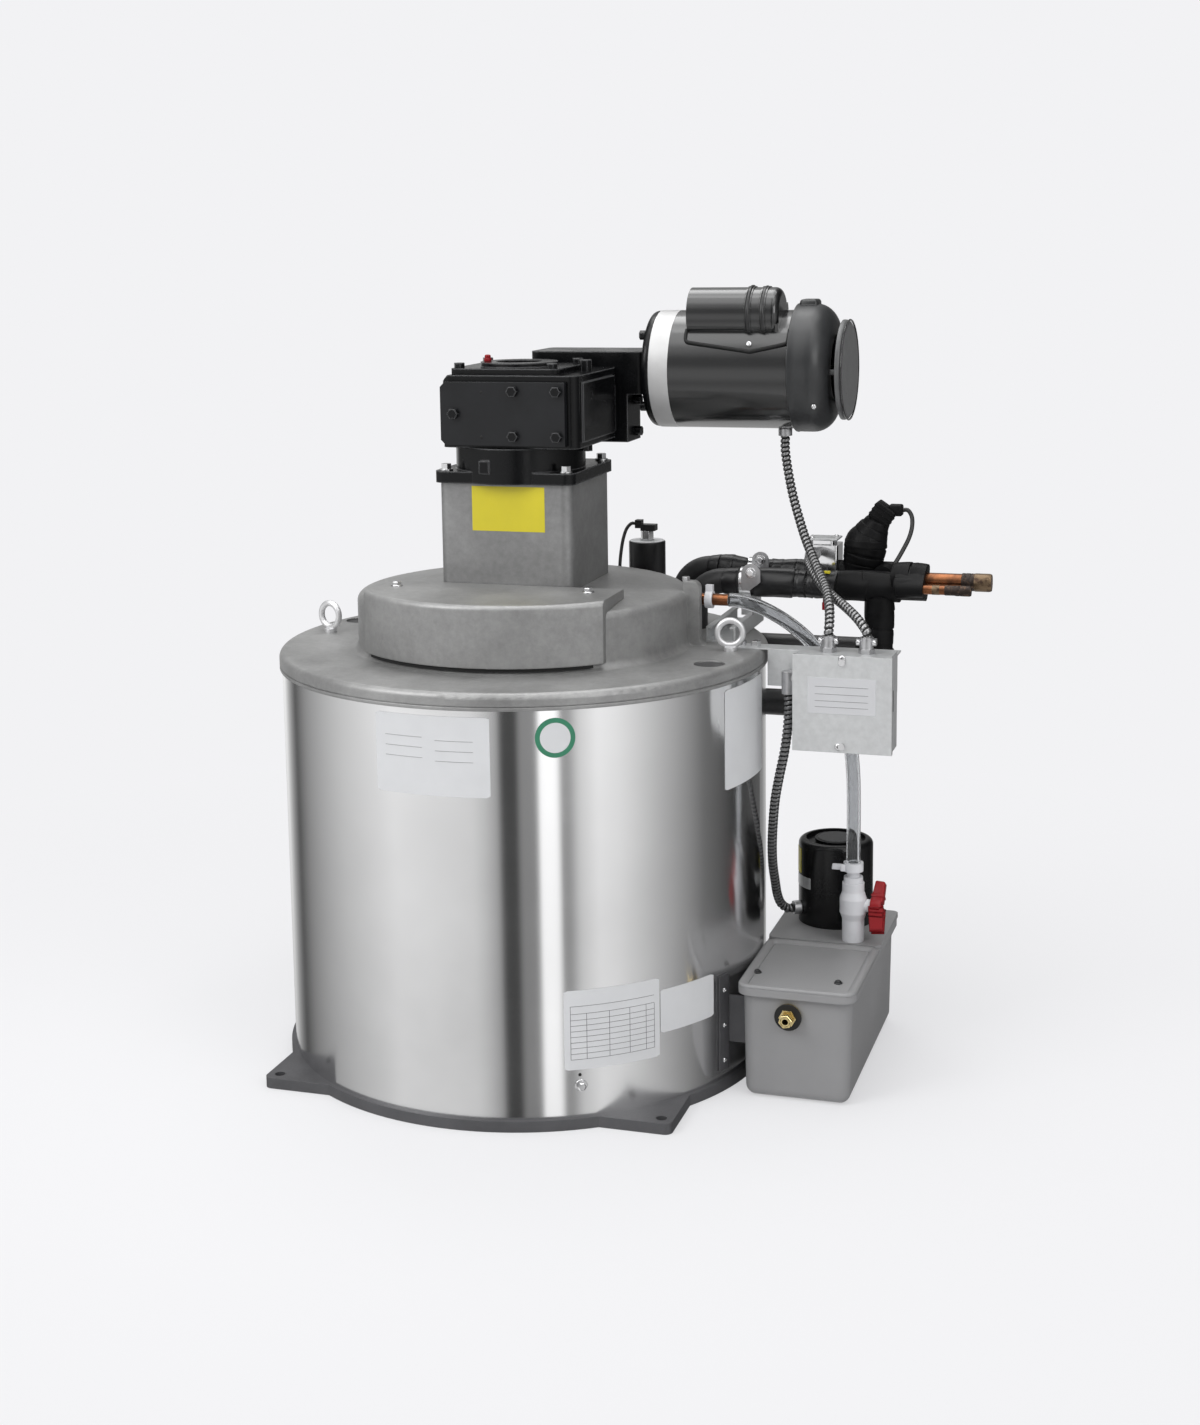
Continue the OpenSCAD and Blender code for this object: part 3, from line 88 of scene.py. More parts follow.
# ---------------------------------------------------------------- node helpers
class Nodes:
    """Short calls for the nodes of one tree."""

    def __init__(self, tree):
        self.tree = tree
        tree.nodes.clear()

    def add(self, kind, **sets):
        n = self.tree.nodes.new(kind)
        for k, v in sets.items():
            setattr(n, k, v)
        return n

    def link(self, a, b):
        self.tree.links.new(a, b)

    def math(self, op, a, b):
        n = self.add("ShaderNodeMath", operation=op)
        for i, v in enumerate((a, b)):
            if isinstance(v, (int, float)):
                n.inputs[i].default_value = v
            else:
                self.link(v, n.inputs[i])
        return n.outputs[0]

    def ramp(self, fac, stops):
        n = self.add("ShaderNodeValToRGB")
        el = n.color_ramp.elements
        while len(el) < len(stops):
            el.new(0.5)
        for e, (pos, value) in zip(el, stops):
            e.position = pos
            rgb = value if isinstance(value, (tuple, list)) else (value,) * 3
            e.color = (*rgb, 1)
        self.link(fac, n.inputs[0])
        return n.outputs[0]

    def noise(self, scale, stretch=(1, 1, 1), detail=3, rough=0.55, offset=0.0):
        if not hasattr(self, "place"):
            self.place = self.add("ShaderNodeTexCoord").outputs["Object"]
        vec = self.place
        if stretch != (1, 1, 1) or offset:
            m = self.add("ShaderNodeMapping")
            m.inputs["Scale"].default_value = stretch
            m.inputs["Location"].default_value = (offset, offset * 0.7, offset * 1.3)
            self.link(vec, m.inputs["Vector"])
            vec = m.outputs[0]
        n = self.add("ShaderNodeTexNoise")
        n.inputs["Scale"].default_value = scale
        n.inputs["Detail"].default_value = detail
        n.inputs["Roughness"].default_value = rough
        self.link(vec, n.inputs["Vector"])
        return n.outputs["Fac"]

    def spread(self, fac, low, high, lo=0.3, hi=0.7):
        """Value that goes from low to high while fac goes from lo to hi."""
        n = self.add("ShaderNodeMapRange")
        n.inputs["From Min"].default_value = lo
        n.inputs["From Max"].default_value = hi
        n.inputs["To Min"].default_value = low
        n.inputs["To Max"].default_value = high
        self.link(fac, n.inputs["Value"])
        return n.outputs["Result"]


def tint(color, k):
    return tuple(min(1.0, max(0.0, c * k)) for c in color)


# Paler colour for a painted highlight along the soft edges of the black enamel
EDGE_HIGHLIGHT_COLOUR = (0.2, 0.202, 0.208, 1)


def painted_edge_highlight(g, bevel, colour, amount):
    """Painted highlight: the base colour turns paler along the edges, where the rounded normal leaves the
    face's own.
    """
    face = g.add("ShaderNodeNewGeometry").outputs["True Normal"]
    turn = g.add("ShaderNodeVectorMath", operation="DOT_PRODUCT")
    g.link(bevel.outputs[0], turn.inputs[0])
    g.link(face, turn.inputs[1])
    mix = g.add("ShaderNodeMix", data_type="RGBA")
    g.link(g.spread(turn.outputs["Value"], amount, 0.0, 0.74, 0.97), mix.inputs["Factor"])
    g.link(colour, mix.inputs["A"])
    mix.inputs["B"].default_value = EDGE_HIGHLIGHT_COLOUR
    return mix.outputs["Result"]


def material(name, color, metal, rough, patch, grain, streak=(1, 1, 1), rough_var=0.08, edge=0.0, second=None,
             coat=0.0, sheen=0.0, spec=0.5, clear=0.0, brushed=0.0, speckle=0.0, edge_highlight=0.0):
    """Colour drifts in patches, roughness drifts with it, and a fine grain gives the bump.

    patch is (scale, amount), grain is (scale, strength, depth in mm), edge is the soft edge's radius in mm,
    second is (colour, from, to) for a stain over the patches, and the last argument gives how far a painted
    highlight pales the base colour at a soft edge.
    """
    m = bpy.data.materials.new(name)
    m.use_nodes = True
    g = Nodes(m.node_tree)
    out = g.add("ShaderNodeOutputMaterial")
    b = g.add("ShaderNodeBsdfPrincipled")
    g.link(b.outputs[0], out.inputs[0])
    b.inputs["Metallic"].default_value = metal
    b.inputs["Specular IOR Level"].default_value = spec
    if coat:
        b.inputs["Coat Weight"].default_value = coat
        b.inputs["Coat Roughness"].default_value = 0.12
    if sheen:
        b.inputs["Sheen Weight"].default_value = sheen
        b.inputs["Sheen Roughness"].default_value = 0.6
    if clear:
        b.inputs["Transmission Weight"].default_value = clear
        b.inputs["IOR"].default_value = 1.3
    if brushed:
        b.inputs["Anisotropic"].default_value = brushed
        b.inputs["Anisotropic Rotation"].default_value = 0.25
        around = g.add("ShaderNodeTangent", direction_type="RADIAL", axis="Z")
        g.link(around.outputs[0], b.inputs["Tangent"])
    drift = g.noise(patch[0], detail=4)
    stops = [(0.3, tint(color, 1 - patch[1])), (0.7, tint(color, 1 + patch[1]))]
    if second:
        stops = [(second[1], tint(color, 1.0)), (second[2], second[0])]
    scale, strength, depth = grain
    fine = g.noise(scale, stretch=streak, detail=2, offset=1.7)
    shade = drift
    if speckle:
        mottle = g.noise(scale * 0.25, detail=4, rough=0.7, offset=4.1)
        shade = g.math("ADD", drift, g.math("MULTIPLY", g.math("SUBTRACT", mottle, 0.5), speckle))
    colour = g.ramp(shade, stops)
    mixed = g.math("ADD", g.math("MULTIPLY", drift, 0.6), g.math("MULTIPLY", fine, 0.4))
    rough_drift = g.spread(mixed, max(0.02, rough - rough_var), min(1, rough + rough_var))
    g.link(rough_drift, b.inputs["Roughness"])
    bump = g.add("ShaderNodeBump")
    bump.inputs["Strength"].default_value = strength
    bump.inputs["Distance"].default_value = depth * MM
    g.link(fine, bump.inputs["Height"])
    if edge:
        bevel = g.add("ShaderNodeBevel", samples=4)
        bevel.inputs["Radius"].default_value = edge * MM
        g.link(bevel.outputs[0], bump.inputs["Normal"])
    # Painted highlight: the base colour turns paler along soft edges
    if edge_highlight:
        colour = painted_edge_highlight(g, bevel, colour, edge_highlight)
    g.link(colour, b.inputs["Base Color"])
    g.link(bump.outputs[0], b.inputs["Normal"])
    return m


MAT = {
    "cast": material(
        "cast_aluminium", (0.265, 0.265, 0.265), 0.55, 0.44, (11, 0.2), (420, 0.4, 0.4), edge=2.5,
        speckle=0.5),
    "cover": material(
        "cast_cover", (0.312, 0.312, 0.31), 0.55, 0.44, (11, 0.18), (420, 0.4, 0.4), edge=2.5, speckle=0.5),
    "base": material("base_grey", (0.085, 0.085, 0.09), 0.3, 0.5, (20, 0.16), (300, 0.4, 0.4), edge=1.5),
    "steel": material(
        "brushed_steel", (0.8, 0.8, 0.805), 1.0, 0.15, (6, 0.03), (60, 0.04, 0.03), (0.5, 0.5, 40),
        rough_var=0.03, brushed=0.9),
    "frost": material("freezing_steel", (0.55, 0.56, 0.57), 0.9, 0.38, (30, 0.08), (200, 0.1, 0.1)),
    "blade": material("blade_steel", (0.6, 0.6, 0.61), 1.0, 0.3, (40, 0.06), (500, 0.1, 0.1), edge=0.5),
    "foam": material("foam", (0.72, 0.62, 0.4), 0, 0.9, (60, 0.15), (500, 0.6, 1.0)),
    "bronze": material("bronze", (0.42, 0.25, 0.09), 1.0, 0.34, (60, 0.12), (500, 0.1, 0.1)),
    "squeegee": material("squeegee_red", (0.3, 0.045, 0.035), 0, 0.6, (40, 0.12), (700, 0.1, 0.2)),
    "zinc": material("bright_zinc", (0.72, 0.72, 0.73), 1.0, 0.22, (90, 0.08), (900, 0.08, 0.1), edge=0.6),
    "eye": material("plated_eye", (0.78, 0.78, 0.79), 0.75, 0.4, (90, 0.06), (900, 0.1, 0.1), edge=0.6),
    "chrome": material("chrome", (0.82, 0.82, 0.83), 1.0, 0.1, (60, 0.04), (900, 0.03, 0.05), edge=0.8),
    "bare": material("bare_band", (0.56, 0.56, 0.56), 0.35, 0.42, (40, 0.05), (150, 0.12, 0.1), (30, 1, 1)),
    "rubber": material(
        "pipe_rubber", (0.014, 0.014, 0.015), 0, 0.46, (45, 0.3), (420, 0.35, 0.5), sheen=0.08),
    "tape": material("wrap_tape", (0.009, 0.009, 0.01), 0, 0.34, (60, 0.3), (500, 0.2, 0.3), spec=0.45),
    "boot": material("dark_wrap", (0.004, 0.004, 0.0044), 0, 0.5, (60, 0.3), (500, 0.25, 0.3), spec=0.16),
    # The black enamel carries a painted highlight along its edges
    "enamel": material(
        "black_enamel", (0.0035, 0.0037, 0.0042), 0, 0.22, (35, 0.25), (330, 0.22, 0.4), edge=3.5,
        spec=0.22, edge_highlight=0.75),
    "plate_black": material(
        "black_plate", (0.0075, 0.008, 0.0095), 0, 0.36, (30, 0.22), (520, 0.16, 0.2), edge=1.6, spec=0.36),
    "motor": material(
        "motor_grey", (0.008, 0.0083, 0.0087), 0.1, 0.22, (24, 0.05), (260, 0.02, 0.1), rough_var=0.03,
        edge=1.2, coat=0.9),
    "shroud": material(
        "shroud_grey", (0.025, 0.026, 0.0273), 0, 0.36, (26, 0.12), (420, 0.14, 0.2), edge=1.5),
    "disc": material("end_disc", (0.1, 0.101, 0.103), 0, 0.34, (26, 0.12), (420, 0.12, 0.2), edge=1.2),
    "gloss": material(
        "pump_black", (0.005, 0.005, 0.0055), 0, 0.24, (40, 0.2), (600, 0.06, 0.2), edge=0.8, spec=0.32),
    "black": material(
        "black_plastic", (0.012, 0.012, 0.0125), 0, 0.3, (40, 0.2), (600, 0.1, 0.2), edge=0.8, coat=0.2),
    "copper": material(
        "copper", (0.25, 0.1, 0.046), 1.0, 0.3, (55, 0.1), (500, 0.1, 0.1),
        second=((0.11, 0.05, 0.028), 0.5, 0.72)),
    "burnt": material(
        "burnt_copper", (0.16, 0.11, 0.066), 0.8, 0.42, (120, 0.3), (500, 0.3, 0.2),
        second=((0.06, 0.036, 0.024), 0.5, 0.66)),
    "charred": material(
        "charred_band", (0.024, 0.015, 0.011), 0.5, 0.5, (160, 0.3), (500, 0.3, 0.2),
        second=((0.13, 0.075, 0.045), 0.55, 0.7)),
    "hose": material(
        "clear_hose", (0.62, 0.63, 0.64), 0, 0.05, (60, 0.02), (300, 0.0, 0.1), rough_var=0.02, clear=0.97),
    "white": material(
        "white_plastic", (0.66, 0.665, 0.69), 0, 0.38, (40, 0.03), (700, 0.06, 0.1), edge=0.8),
    "red": material(
        "red_plastic", (0.26, 0.005, 0.009), 0, 0.36, (40, 0.08), (600, 0.06, 0.1), edge=1.2, spec=0.3),
    "tank": material("tank_grey", (0.25, 0.25, 0.254), 0, 0.46, (10, 0.05), (700, 0.3, 0.25), edge=2.0),
    "brass": material("brass", (0.74, 0.6, 0.3), 1.0, 0.2, (80, 0.1), (700, 0.08, 0.1), edge=0.6),
    "galv": material(
        "galvanised", (0.62, 0.63, 0.635), 0.6, 0.36, (120, 0.07), (60, 0.1, 0.1), (1, 1, 12), edge=0.8),
    "diecast": material(
        "die_cast_zinc", (0.5, 0.5, 0.51), 0.9, 0.36, (90, 0.12), (600, 0.25, 0.2), edge=0.8),
    "conduit": material("conduit_steel", (0.3, 0.3, 0.303), 0.9, 0.36, (90, 0.16), (700, 0.1, 0.1)),
    # Darker copy of the conduit steel: painted shade for the pump's conduit, which lies in shade
    "conduit_in_painted_shade": material("conduit_in_painted_shade", (0.24, 0.24, 0.243), 0.85, 0.36, (90, 0.16), (700, 0.1, 0.1)),
    "cable": material("cable_black", (0.012, 0.012, 0.012), 0, 0.42, (60, 0.2), (600, 0.12, 0.2)),
    "paper": material(
        "bare_plate", (0.62, 0.628, 0.64), 0, 0.4, (30, 0.02), (900, 0.04, 0.05), rough_var=0.04),
    "card": material(
        "grey_plate", (0.56, 0.565, 0.58), 0.1, 0.36, (30, 0.02), (900, 0.04, 0.05), rough_var=0.04),
    "ruled": material("ruled_line", (0.12, 0.12, 0.13), 0, 0.5, (200, 0.1), (900, 0.04, 0.05)),
    "yellow": material(
        "yellow_plate", (0.63, 0.54, 0.022), 0, 0.36, (30, 0.03), (900, 0.04, 0.05), rough_var=0.04),
    "green": material("green_ring", (0.03, 0.2, 0.11), 0, 0.4, (30, 0.05), (900, 0.04, 0.05)),
    # Near black: the own colour of the fitting's seal and the capacitor's bead, and painted shade in recesses,
    # holes, conduit grooves and the gap under the cover
    "dark": material("black_and_painted_shade", (0.006, 0.006, 0.006), 0, 0.7, (60, 0.2), (600, 0.2, 0.2)),
}

LOOKS = {
    "cast": "pedestal",
    "cover": "top_cover inspection_cover",
    "base": "base_ring bottom_spider tank_bracket",
    "steel": "outer_jacket",
    "frost": "evaporator_wall water_pan",
    "blade": "ice_blade main_shaft motor_shaft",
    "foam": "insulation",
    "bronze": "shaft_bearings",
    "squeegee": "squeegee",
    "zinc": "bright_fasteners pipe_clamps",
    "eye": "eye_bolts",
    "chrome": "valve_block",
    "bare": "motor_band",
    "rubber": "foam_plugs insulated_pipes",
    "boot": "actuator",
    "tape": "sensor_body",
    "enamel": "adapter_plate reducer_housing reducer_top_cap primary_housing motor_end_bell black_bolts",
    "plate_black": "reducer_front_cover",
    "motor": "motor_frame capacitor_cover",
    "shroud": "fan_cover",
    "disc": "fan_end_plate",
    "gloss": "pump_housing",
    "black": "motor_fan pump_impeller float_arm cable_plugs",
    "copper": "inlet_tube copper_stubs",
    "white": "valve_body valve_ball hose_clips",
    "red": "valve_handle",
    "tank": "tank tank_lid",
    "brass": "water_fitting",
    "galv": "junction_box box_cover box_bracket pipe_rails",
    "diecast": "conduit_fittings",
}
for look, names in LOOKS.items():
    for name in names.split():
        mesh = NODES[name].data
        mesh.materials.clear()
        mesh.materials.append(MAT[look])

# From the tee on, the pipes have a darker wrap
pipes = NODES["insulated_pipes"].data
pipes.materials.append(MAT["boot"])
for face in pipes.polygons:
    if face.center.x > TEE_X * MM:
        face.material_index = 1


# ---------------------------------------------------------------- mesh helpers
def finish_piece(name, bm, look, body="machine", smooth=35):
    mesh = bpy.data.meshes.new(name)
    bmesh.ops.remove_doubles(bm, verts=bm.verts, dist=1e-7)
    bmesh.ops.recalc_face_normals(bm, faces=bm.faces)
    bm.to_mesh(mesh)
    bm.free()
    obj = bpy.data.objects.new(name, mesh)
    scene.collection.objects.link(obj)
    mesh.materials.append(MAT[look])
    mesh.shade_smooth()
    mesh.set_sharp_from_angle(angle=math.radians(smooth))
    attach(obj, body)
    return obj


def toward(origin, axis):
    """Matrix whose local Z points along axis, at origin in millimetres."""
    z = Vector(axis).normalized()
    return Matrix.Translation(Vector(origin) * MM) @ z.to_track_quat("Z", "Y").to_matrix().to_4x4()


def bridge(bm, a, b):
    """Band of quads between two rings of the same count."""
    for k in range(len(a)):
        n = (k + 1) % len(a)
        bm.faces.new((a[k], a[n], b[n], b[k]))


def skin(bm, rings):
    """Bands between rings that follow each other, and a face on each end."""
    for a, b in zip(rings, rings[1:]):
        bridge(bm, a, b)
    bm.faces.new(rings[0])
    bm.faces.new(rings[-1])


def at(x, y, z):
    return Matrix.Translation(Vector((x, y, z)) * MM)


def polar(r, degrees, z):
    a = math.radians(degrees)
    return r * math.cos(a), r * math.sin(a), z


def turned(bm, matrix, profile, sides=32, start=0.0):
    """Solid of revolution from (radius, height) pairs in millimetres; a radius of zero closes an end."""
    rings = []
    for r, h in profile:
        if r <= 0:
            rings.append([bm.verts.new(matrix @ Vector((0, 0, h * MM)))])
        else:
            angles = (start + 2 * math.pi * k / sides for k in range(sides))
            rings.append([
                bm.verts.new(matrix @ Vector((r * MM * math.cos(t), r * MM * math.sin(t), h * MM)))
                for t in angles
            ])
    for a, b in zip(rings, rings[1:]):
        for k in range(sides):
            n = (k + 1) % sides
            if len(a) == 1 and len(b) > 1:
                bm.faces.new((a[0], b[k], b[n]))
            elif len(b) == 1 and len(a) > 1:
                bm.faces.new((a[k], a[n], b[0]))
            elif len(a) > 1:
                bm.faces.new((a[k], a[n], b[n], b[k]))


def round_edges(bm, made, bevel, segments):
    edges = list(dict.fromkeys(e for v in made["verts"] for e in v.link_edges))
    bmesh.ops.bevel(bm, geom=edges, offset=bevel * MM, segments=segments, affect="EDGES", profile=0.5)


def block(bm, matrix, size, bevel, segments):
    """Box with rounded edges, size in millimetres, centred on the matrix."""
    stretch = Matrix.Diagonal((*(s * MM for s in size), 1))
    made = bmesh.ops.create_cube(bm, size=1.0, matrix=matrix @ stretch)
    round_edges(bm, made, bevel, segments)


def taper(bm, matrix, low, high, h, bevel, segments=2):
    """Rounded block on the matrix whose section goes from low to high over its height, in millimetres."""
    made = bmesh.ops.create_cube(bm, size=1.0)
    to_metres = matrix @ Matrix.Diagonal((MM, MM, MM, 1))
    for v in made["verts"]:
        w = high if v.co.z > 0 else low
        v.co = to_metres @ Vector((v.co.x * w[0], v.co.y * w[1], (v.co.z + 0.5) * h))
    round_edges(bm, made, bevel, segments)


WASHER_T = 1.8


def hex_bolt(bm, origin, axis, across, h, washer, spin=0.0):
    """Hexagon head on a washer; washer is the washer's radius."""
    m = toward(origin, axis)
    r = across / math.sqrt(3)
    top = WASHER_T + h
    turned(bm, m, [(0, 0), (washer, 0), (washer, 1.2), (washer - 0.6, WASHER_T), (0, WASHER_T)], 28)
    turned(bm, m, [(0, WASHER_T), (r, WASHER_T), (r, top - 1), (r - 1.4, top), (0, top)], 6, spin)


def pan_screw(bm, origin, axis, r, h):
    """Domed screw head with a round recess."""
    m = toward(origin, axis)
    turned(bm, m, [(0, 0), (r, 0), (r, h * 0.35), (r * 0.86, h * 0.75), (r * 0.55, h), (r * 0.34, h * 0.96),
                   (r * 0.16, h * 0.55), (0, h * 0.5)], 24)


CUTS = 12


def sweep_points(route, step):
    """Smooth curve through the route's points, cut to equal steps, in metres."""
    pts = [Vector(p) * MM for p in route]
    fine = []
    for i in range(len(pts) - 1):
        p0 = pts[max(i - 1, 0)]
        p1, p2 = pts[i], pts[i + 1]
        p3 = pts[min(i + 2, len(pts) - 1)]
        for k in range(CUTS):
            t = k / CUTS
            fine.append(0.5 * ((2 * p1) + (p2 - p0) * t + (2 * p0 - 5 * p1 + 4 * p2 - p3) * t * t
                               + (3 * p1 - p0 - 3 * p2 + p3) * t ** 3))
    fine.append(pts[-1])
    total = sum((b - a).length for a, b in zip(fine, fine[1:]))
    count = max(8, round(total / (step * MM)))
    out, i, run = [fine[0]], 0, 0.0
    for k in range(1, count):
        want = total * k / count
        while run + (fine[i + 1] - fine[i]).length < want:
            run += (fine[i + 1] - fine[i]).length
            i += 1
        seg = fine[i + 1] - fine[i]
        out.append(fine[i] + seg * ((want - run) / seg.length))
    out.append(fine[-1])
    return out, total


def frames(path, away):
    """Each point of the path with two directions across it."""
    rings = []
    for i, p in enumerate(path):
        d = (path[min(i + 1, len(path) - 1)] - path[max(i - 1, 0)]).normalized()
        s = away.cross(d).normalized()
        rings.append((p, s, d.cross(s)))
    return rings


def tube_rings(bm, path, radius, sides, away):
    """Rings around a path; radius is a function of step and angle, in metres."""
    turns = [2 * math.pi * k / sides for k in range(sides)]
    return [
        [bm.verts.new(p + (s * math.cos(t) + u * math.sin(t)) * radius(i, t)) for t in turns]
        for i, (p, s, u) in enumerate(frames(path, away))
    ]


def tube(bm, path, radius, sides, away):
    skin(bm, tube_rings(bm, path, radius, sides, away))


# ---------------------------------------------------------------- cords
# Routes of the cords in millimetres, from exit to far end
HOSE = [(277, 48, 623), (288, 48, 623), (304, 48, 620), (322, 49, 614), (342, 51, 604), (360, 54, 592),
        (377, 57, 578), (393, 60, 561), (408, 61, 538), (422, 62, 508), (434, 62, 470), (441, 62, 430),
        (445, 62, 388), (446, 62, 345), (446, 62, 305), (446, 62, 265.6)]
MOTOR = [(330, 160, 836), (330, 160, 815), (335, 157, 785), (343, 150, 754), (354, 138, 725), (366, 122, 700),
         (379, 103, 680), (392, 80, 664), (405, 55, 651), (415, 31, 639), (422, 9, 625), (425, -6, 608),
         (425, -11, 599), (425, -11, 592)]
AUX = [(365, 168.7, 668), (365, 158, 668), (368, 138, 667), (376, 115, 660), (389, 92, 649), (405, 69, 639),
       (423, 46, 631), (441, 24, 624), (458, 5, 615), (470, -7, 605), (475, -11, 598), (475, -11, 592)]
PUMP = [(372, -11, 512), (372, -11, 490), (370, -10, 462), (365, -7, 430), (357, -1, 396), (349, 9, 360),
        (343, 23, 322), (338, 40, 286), (335, 58, 254), (334, 76, 226), (333.5, 92, 202), (336, 104, 185),
        (344, 110.4, 176), (351, 114.5, 176)]
ACTUATOR = [(486, 200, 731), (494, 200, 731), (500, 197, 722), (501, 191, 708), (498, 183, 694),
            (492, 174, 680), (486, 166, 668), (481, 160, 659)]
SENSOR = [(80, 276, 690), (73, 276, 690), (66, 274, 682), (62, 270, 668), (60, 266, 652), (59, 262, 634),
          (59, 259, 612), (60, 256, 590), (60, 256, 566.5)]


def declare(node):
    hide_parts(node)


CONDUIT_D, CONDUIT_PITCH, CONDUIT_SIDES = 13.0, 6.4, 18
GROOVE = 1.7
# Share of a turn, on each side of the groove, that takes the painted shade
GROOVE_SHADE = 0.19


def wound_conduit(name, node, route, away, look="conduit"):
    """Conduit with one wound groove, whose faces near each turn of the groove are dark: painted shade in the
    groove.
    """
    path, total = sweep_points(route, CONDUIT_PITCH / 8)
    step = total / (CONDUIT_PITCH * MM) / (len(path) - 1)

    def radius(i, t):
        f = (i * step - t / (2 * math.pi)) % 1.0
        crest = 0.5 - 0.5 * math.cos(2 * math.pi * f)
        return CONDUIT_D / 2 * MM - GROOVE * MM * (1 - min(1.0, crest * 1.9)) ** 1.3

    bm = bmesh.new()
    tube(bm, path, radius, CONDUIT_SIDES, Vector(away))
    obj = finish_piece(name, bm, look, smooth=70)
    # Faces near the groove take the near black, as painted shade
    obj.data.materials.append(MAT["dark"])
    for face in obj.data.polygons:
        row, side = divmod(face.index, CONDUIT_SIDES)
        f = ((row + 0.5) * step - (side + 0.5) / CONDUIT_SIDES) % 1.0
        if row < len(path) - 1 and min(f, 1 - f) < GROOVE_SHADE:
            face.material_index = 1
    declare(node)


def plain_cable(name, node, route, away, d):
    path, total = sweep_points(route, 2.5)
    bm = bmesh.new()
    tube(bm, path, lambda i, t: d / 2 * MM, 14, Vector(away))
    obj = finish_piece(name, bm, "cable", smooth=60)
    declare(node)


HOSE_D, HOSE_BORE, HOSE_SIDES = 19, 12.8, 28


def clear_hose():
    path, total = sweep_points(HOSE, 4)
    bm = bmesh.new()
    walls = []
    for d in (HOSE_D, HOSE_BORE):
        rings = tube_rings(bm, path, lambda i, t: d / 2 * MM, HOSE_SIDES, Vector((0, 1, 0)))
        for a, b in zip(rings, rings[1:]):
            bridge(bm, a, b)
        walls.append(rings)
    for end in (0, -1):
        bridge(bm, walls[0][end], walls[1][end])
    obj = finish_piece("supply_hose_clear", bm, "hose", smooth=60)
    declare("supply_hose")


clear_hose()
wound_conduit("conduit_motor_wound", "conduit_motor", MOTOR, (1, 0, 0))
wound_conduit("conduit_aux_wound", "conduit_aux", AUX, (1, 0, 0))
# The pump's conduit takes the darker copy of the steel, as painted shade
wound_conduit("conduit_pump_wound", "conduit_pump", PUMP, (1, -1, 0), "conduit_in_painted_shade")
plain_cable("actuator_cable_round", "actuator_cable", ACTUATOR, (0, 0, 1), 6)
plain_cable("sensor_cable_round", "sensor_cable", SENSOR, (0, 1, 0), 5)


# ---------------------------------------------------------------- bare plates
PLATE_LIFT, PLATE_T = 0.25, 0.35
RULE_LIFT, RULE_T = 0.62, 0.12


def drum_plate(bm, a0, a1, z0, z1, lift=PLATE_LIFT, thick=PLATE_T, corner=2.0, r=JACKET_R, centre=(0, 0)):
    """Thin curved plate on a drum between two angles and two heights, with round corners."""
    steps = max(8, round(abs(a1 - a0) * 1.2))
    low, high = r + lift, r + lift + thick
    rings = []
    for i in range(steps + 1):
        a = math.radians(a0 + (a1 - a0) * i / steps)
        near = min(i, steps - i) * abs(a1 - a0) / steps * math.radians(r)
        cut = corner - math.sqrt(max(0, corner ** 2 - (corner - near) ** 2)) if near < corner else 0
        bottom, top = z0 + cut, z1 - cut
        rings.append([
            bm.verts.new(Vector((centre[0] + rr * math.cos(a), centre[1] + rr * math.sin(a), z)) * MM)
            for rr, z in ((low, bottom), (high, bottom), (high, top), (low, top))
        ])
    skin(bm, rings)


def rule(bm, a0, a1, z0, z1):
    drum_plate(bm, a0, a1, z0, z1, RULE_LIFT, RULE_T, 0.0)


def drum_plates():
    bm = bmesh.new()
    drum_plate(bm, -105.0, -78.4, 432, 533)
    drum_plate(bm, -20.0, 2.0, 402, 534)
    drum_plate(bm, -63.6, -41.1, 77, 181)
    drum_plate(bm, -40.8, -24.8, 107, 164)
    finish_piece("drum_plates", bm, "paper")
    bm = bmesh.new()
    for z in (160, 150, *(142 - 7.4 * k for k in range(8))):
        rule(bm, -62.2, -42.5, z, z + 0.5)
    for a in (-62.2, -58.6, -53.4, -48.6, -44.6, -42.5):
        rule(bm, a, a + 0.1, 90.2, 150 if a > -62 else 160)
    for z in (505, 492, 479):
        rule(bm, -102.5, -93.5, z, z + 0.4)
        rule(bm, -90.5, -82.0, z - 3, z - 2.6)
    finish_piece("plate_rules", bm, "ruled")


def round_plate():
    """Round plate bent over the jacket, with a green ring outside its third circle."""
    middle, height, sides = math.radians(-64.4), 506.5, 48
    back = JACKET_R + PLATE_LIFT
    front = back + PLATE_T
    circles = ((0, front), (10, front), (19, front), (25, front), (25, back))
    bm = bmesh.new()
    rings = []
    for r, reach in circles:
        ring = []
        for k in range(sides if r else 1):
            t = 2 * math.pi * k / sides
            a = middle + r * math.cos(t) / JACKET_R
            point = (reach * math.cos(a), reach * math.sin(a), height + r * math.sin(t))
            ring.append(bm.verts.new(Vector(point) * MM))
        rings.append(ring)
    for k in range(sides):
        bm.faces.new((rings[0][0], rings[1][k], rings[1][(k + 1) % sides]))
    for a, b in zip(rings[1:], rings[2:]):
        bridge(bm, a, b)
    obj = finish_piece("round_plate", bm, "paper")
    obj.data.materials.append(MAT["green"])
    for face in obj.data.polygons:
        if face.index >= 2 * sides:
            face.material_index = 1


def flat_plates():
    bm = bmesh.new()
    block(bm, at(447.5, -39.48, 518), (90, PLATE_T, 48), 0.15, 1)
    finish_piece("box_plate", bm, "card")
    bm = bmesh.new()
    for z in (530, 520, 511, 503):
        block(bm, at(447.5, -39.7, z), (70, RULE_T, 0.5), 0.03, 1)
    finish_piece("box_plate_rules", bm, "ruled")
    bm = bmesh.new()
    block(bm, at(6, -72.2, 755.5), (102, 0.36, 60), 0.15, 1)
    finish_piece("pedestal_plate", bm, "yellow")


drum_plates()
round_plate()
flat_plates()


# ---------------------------------------------------------------- small parts
SLEEVE_SIDES = 36


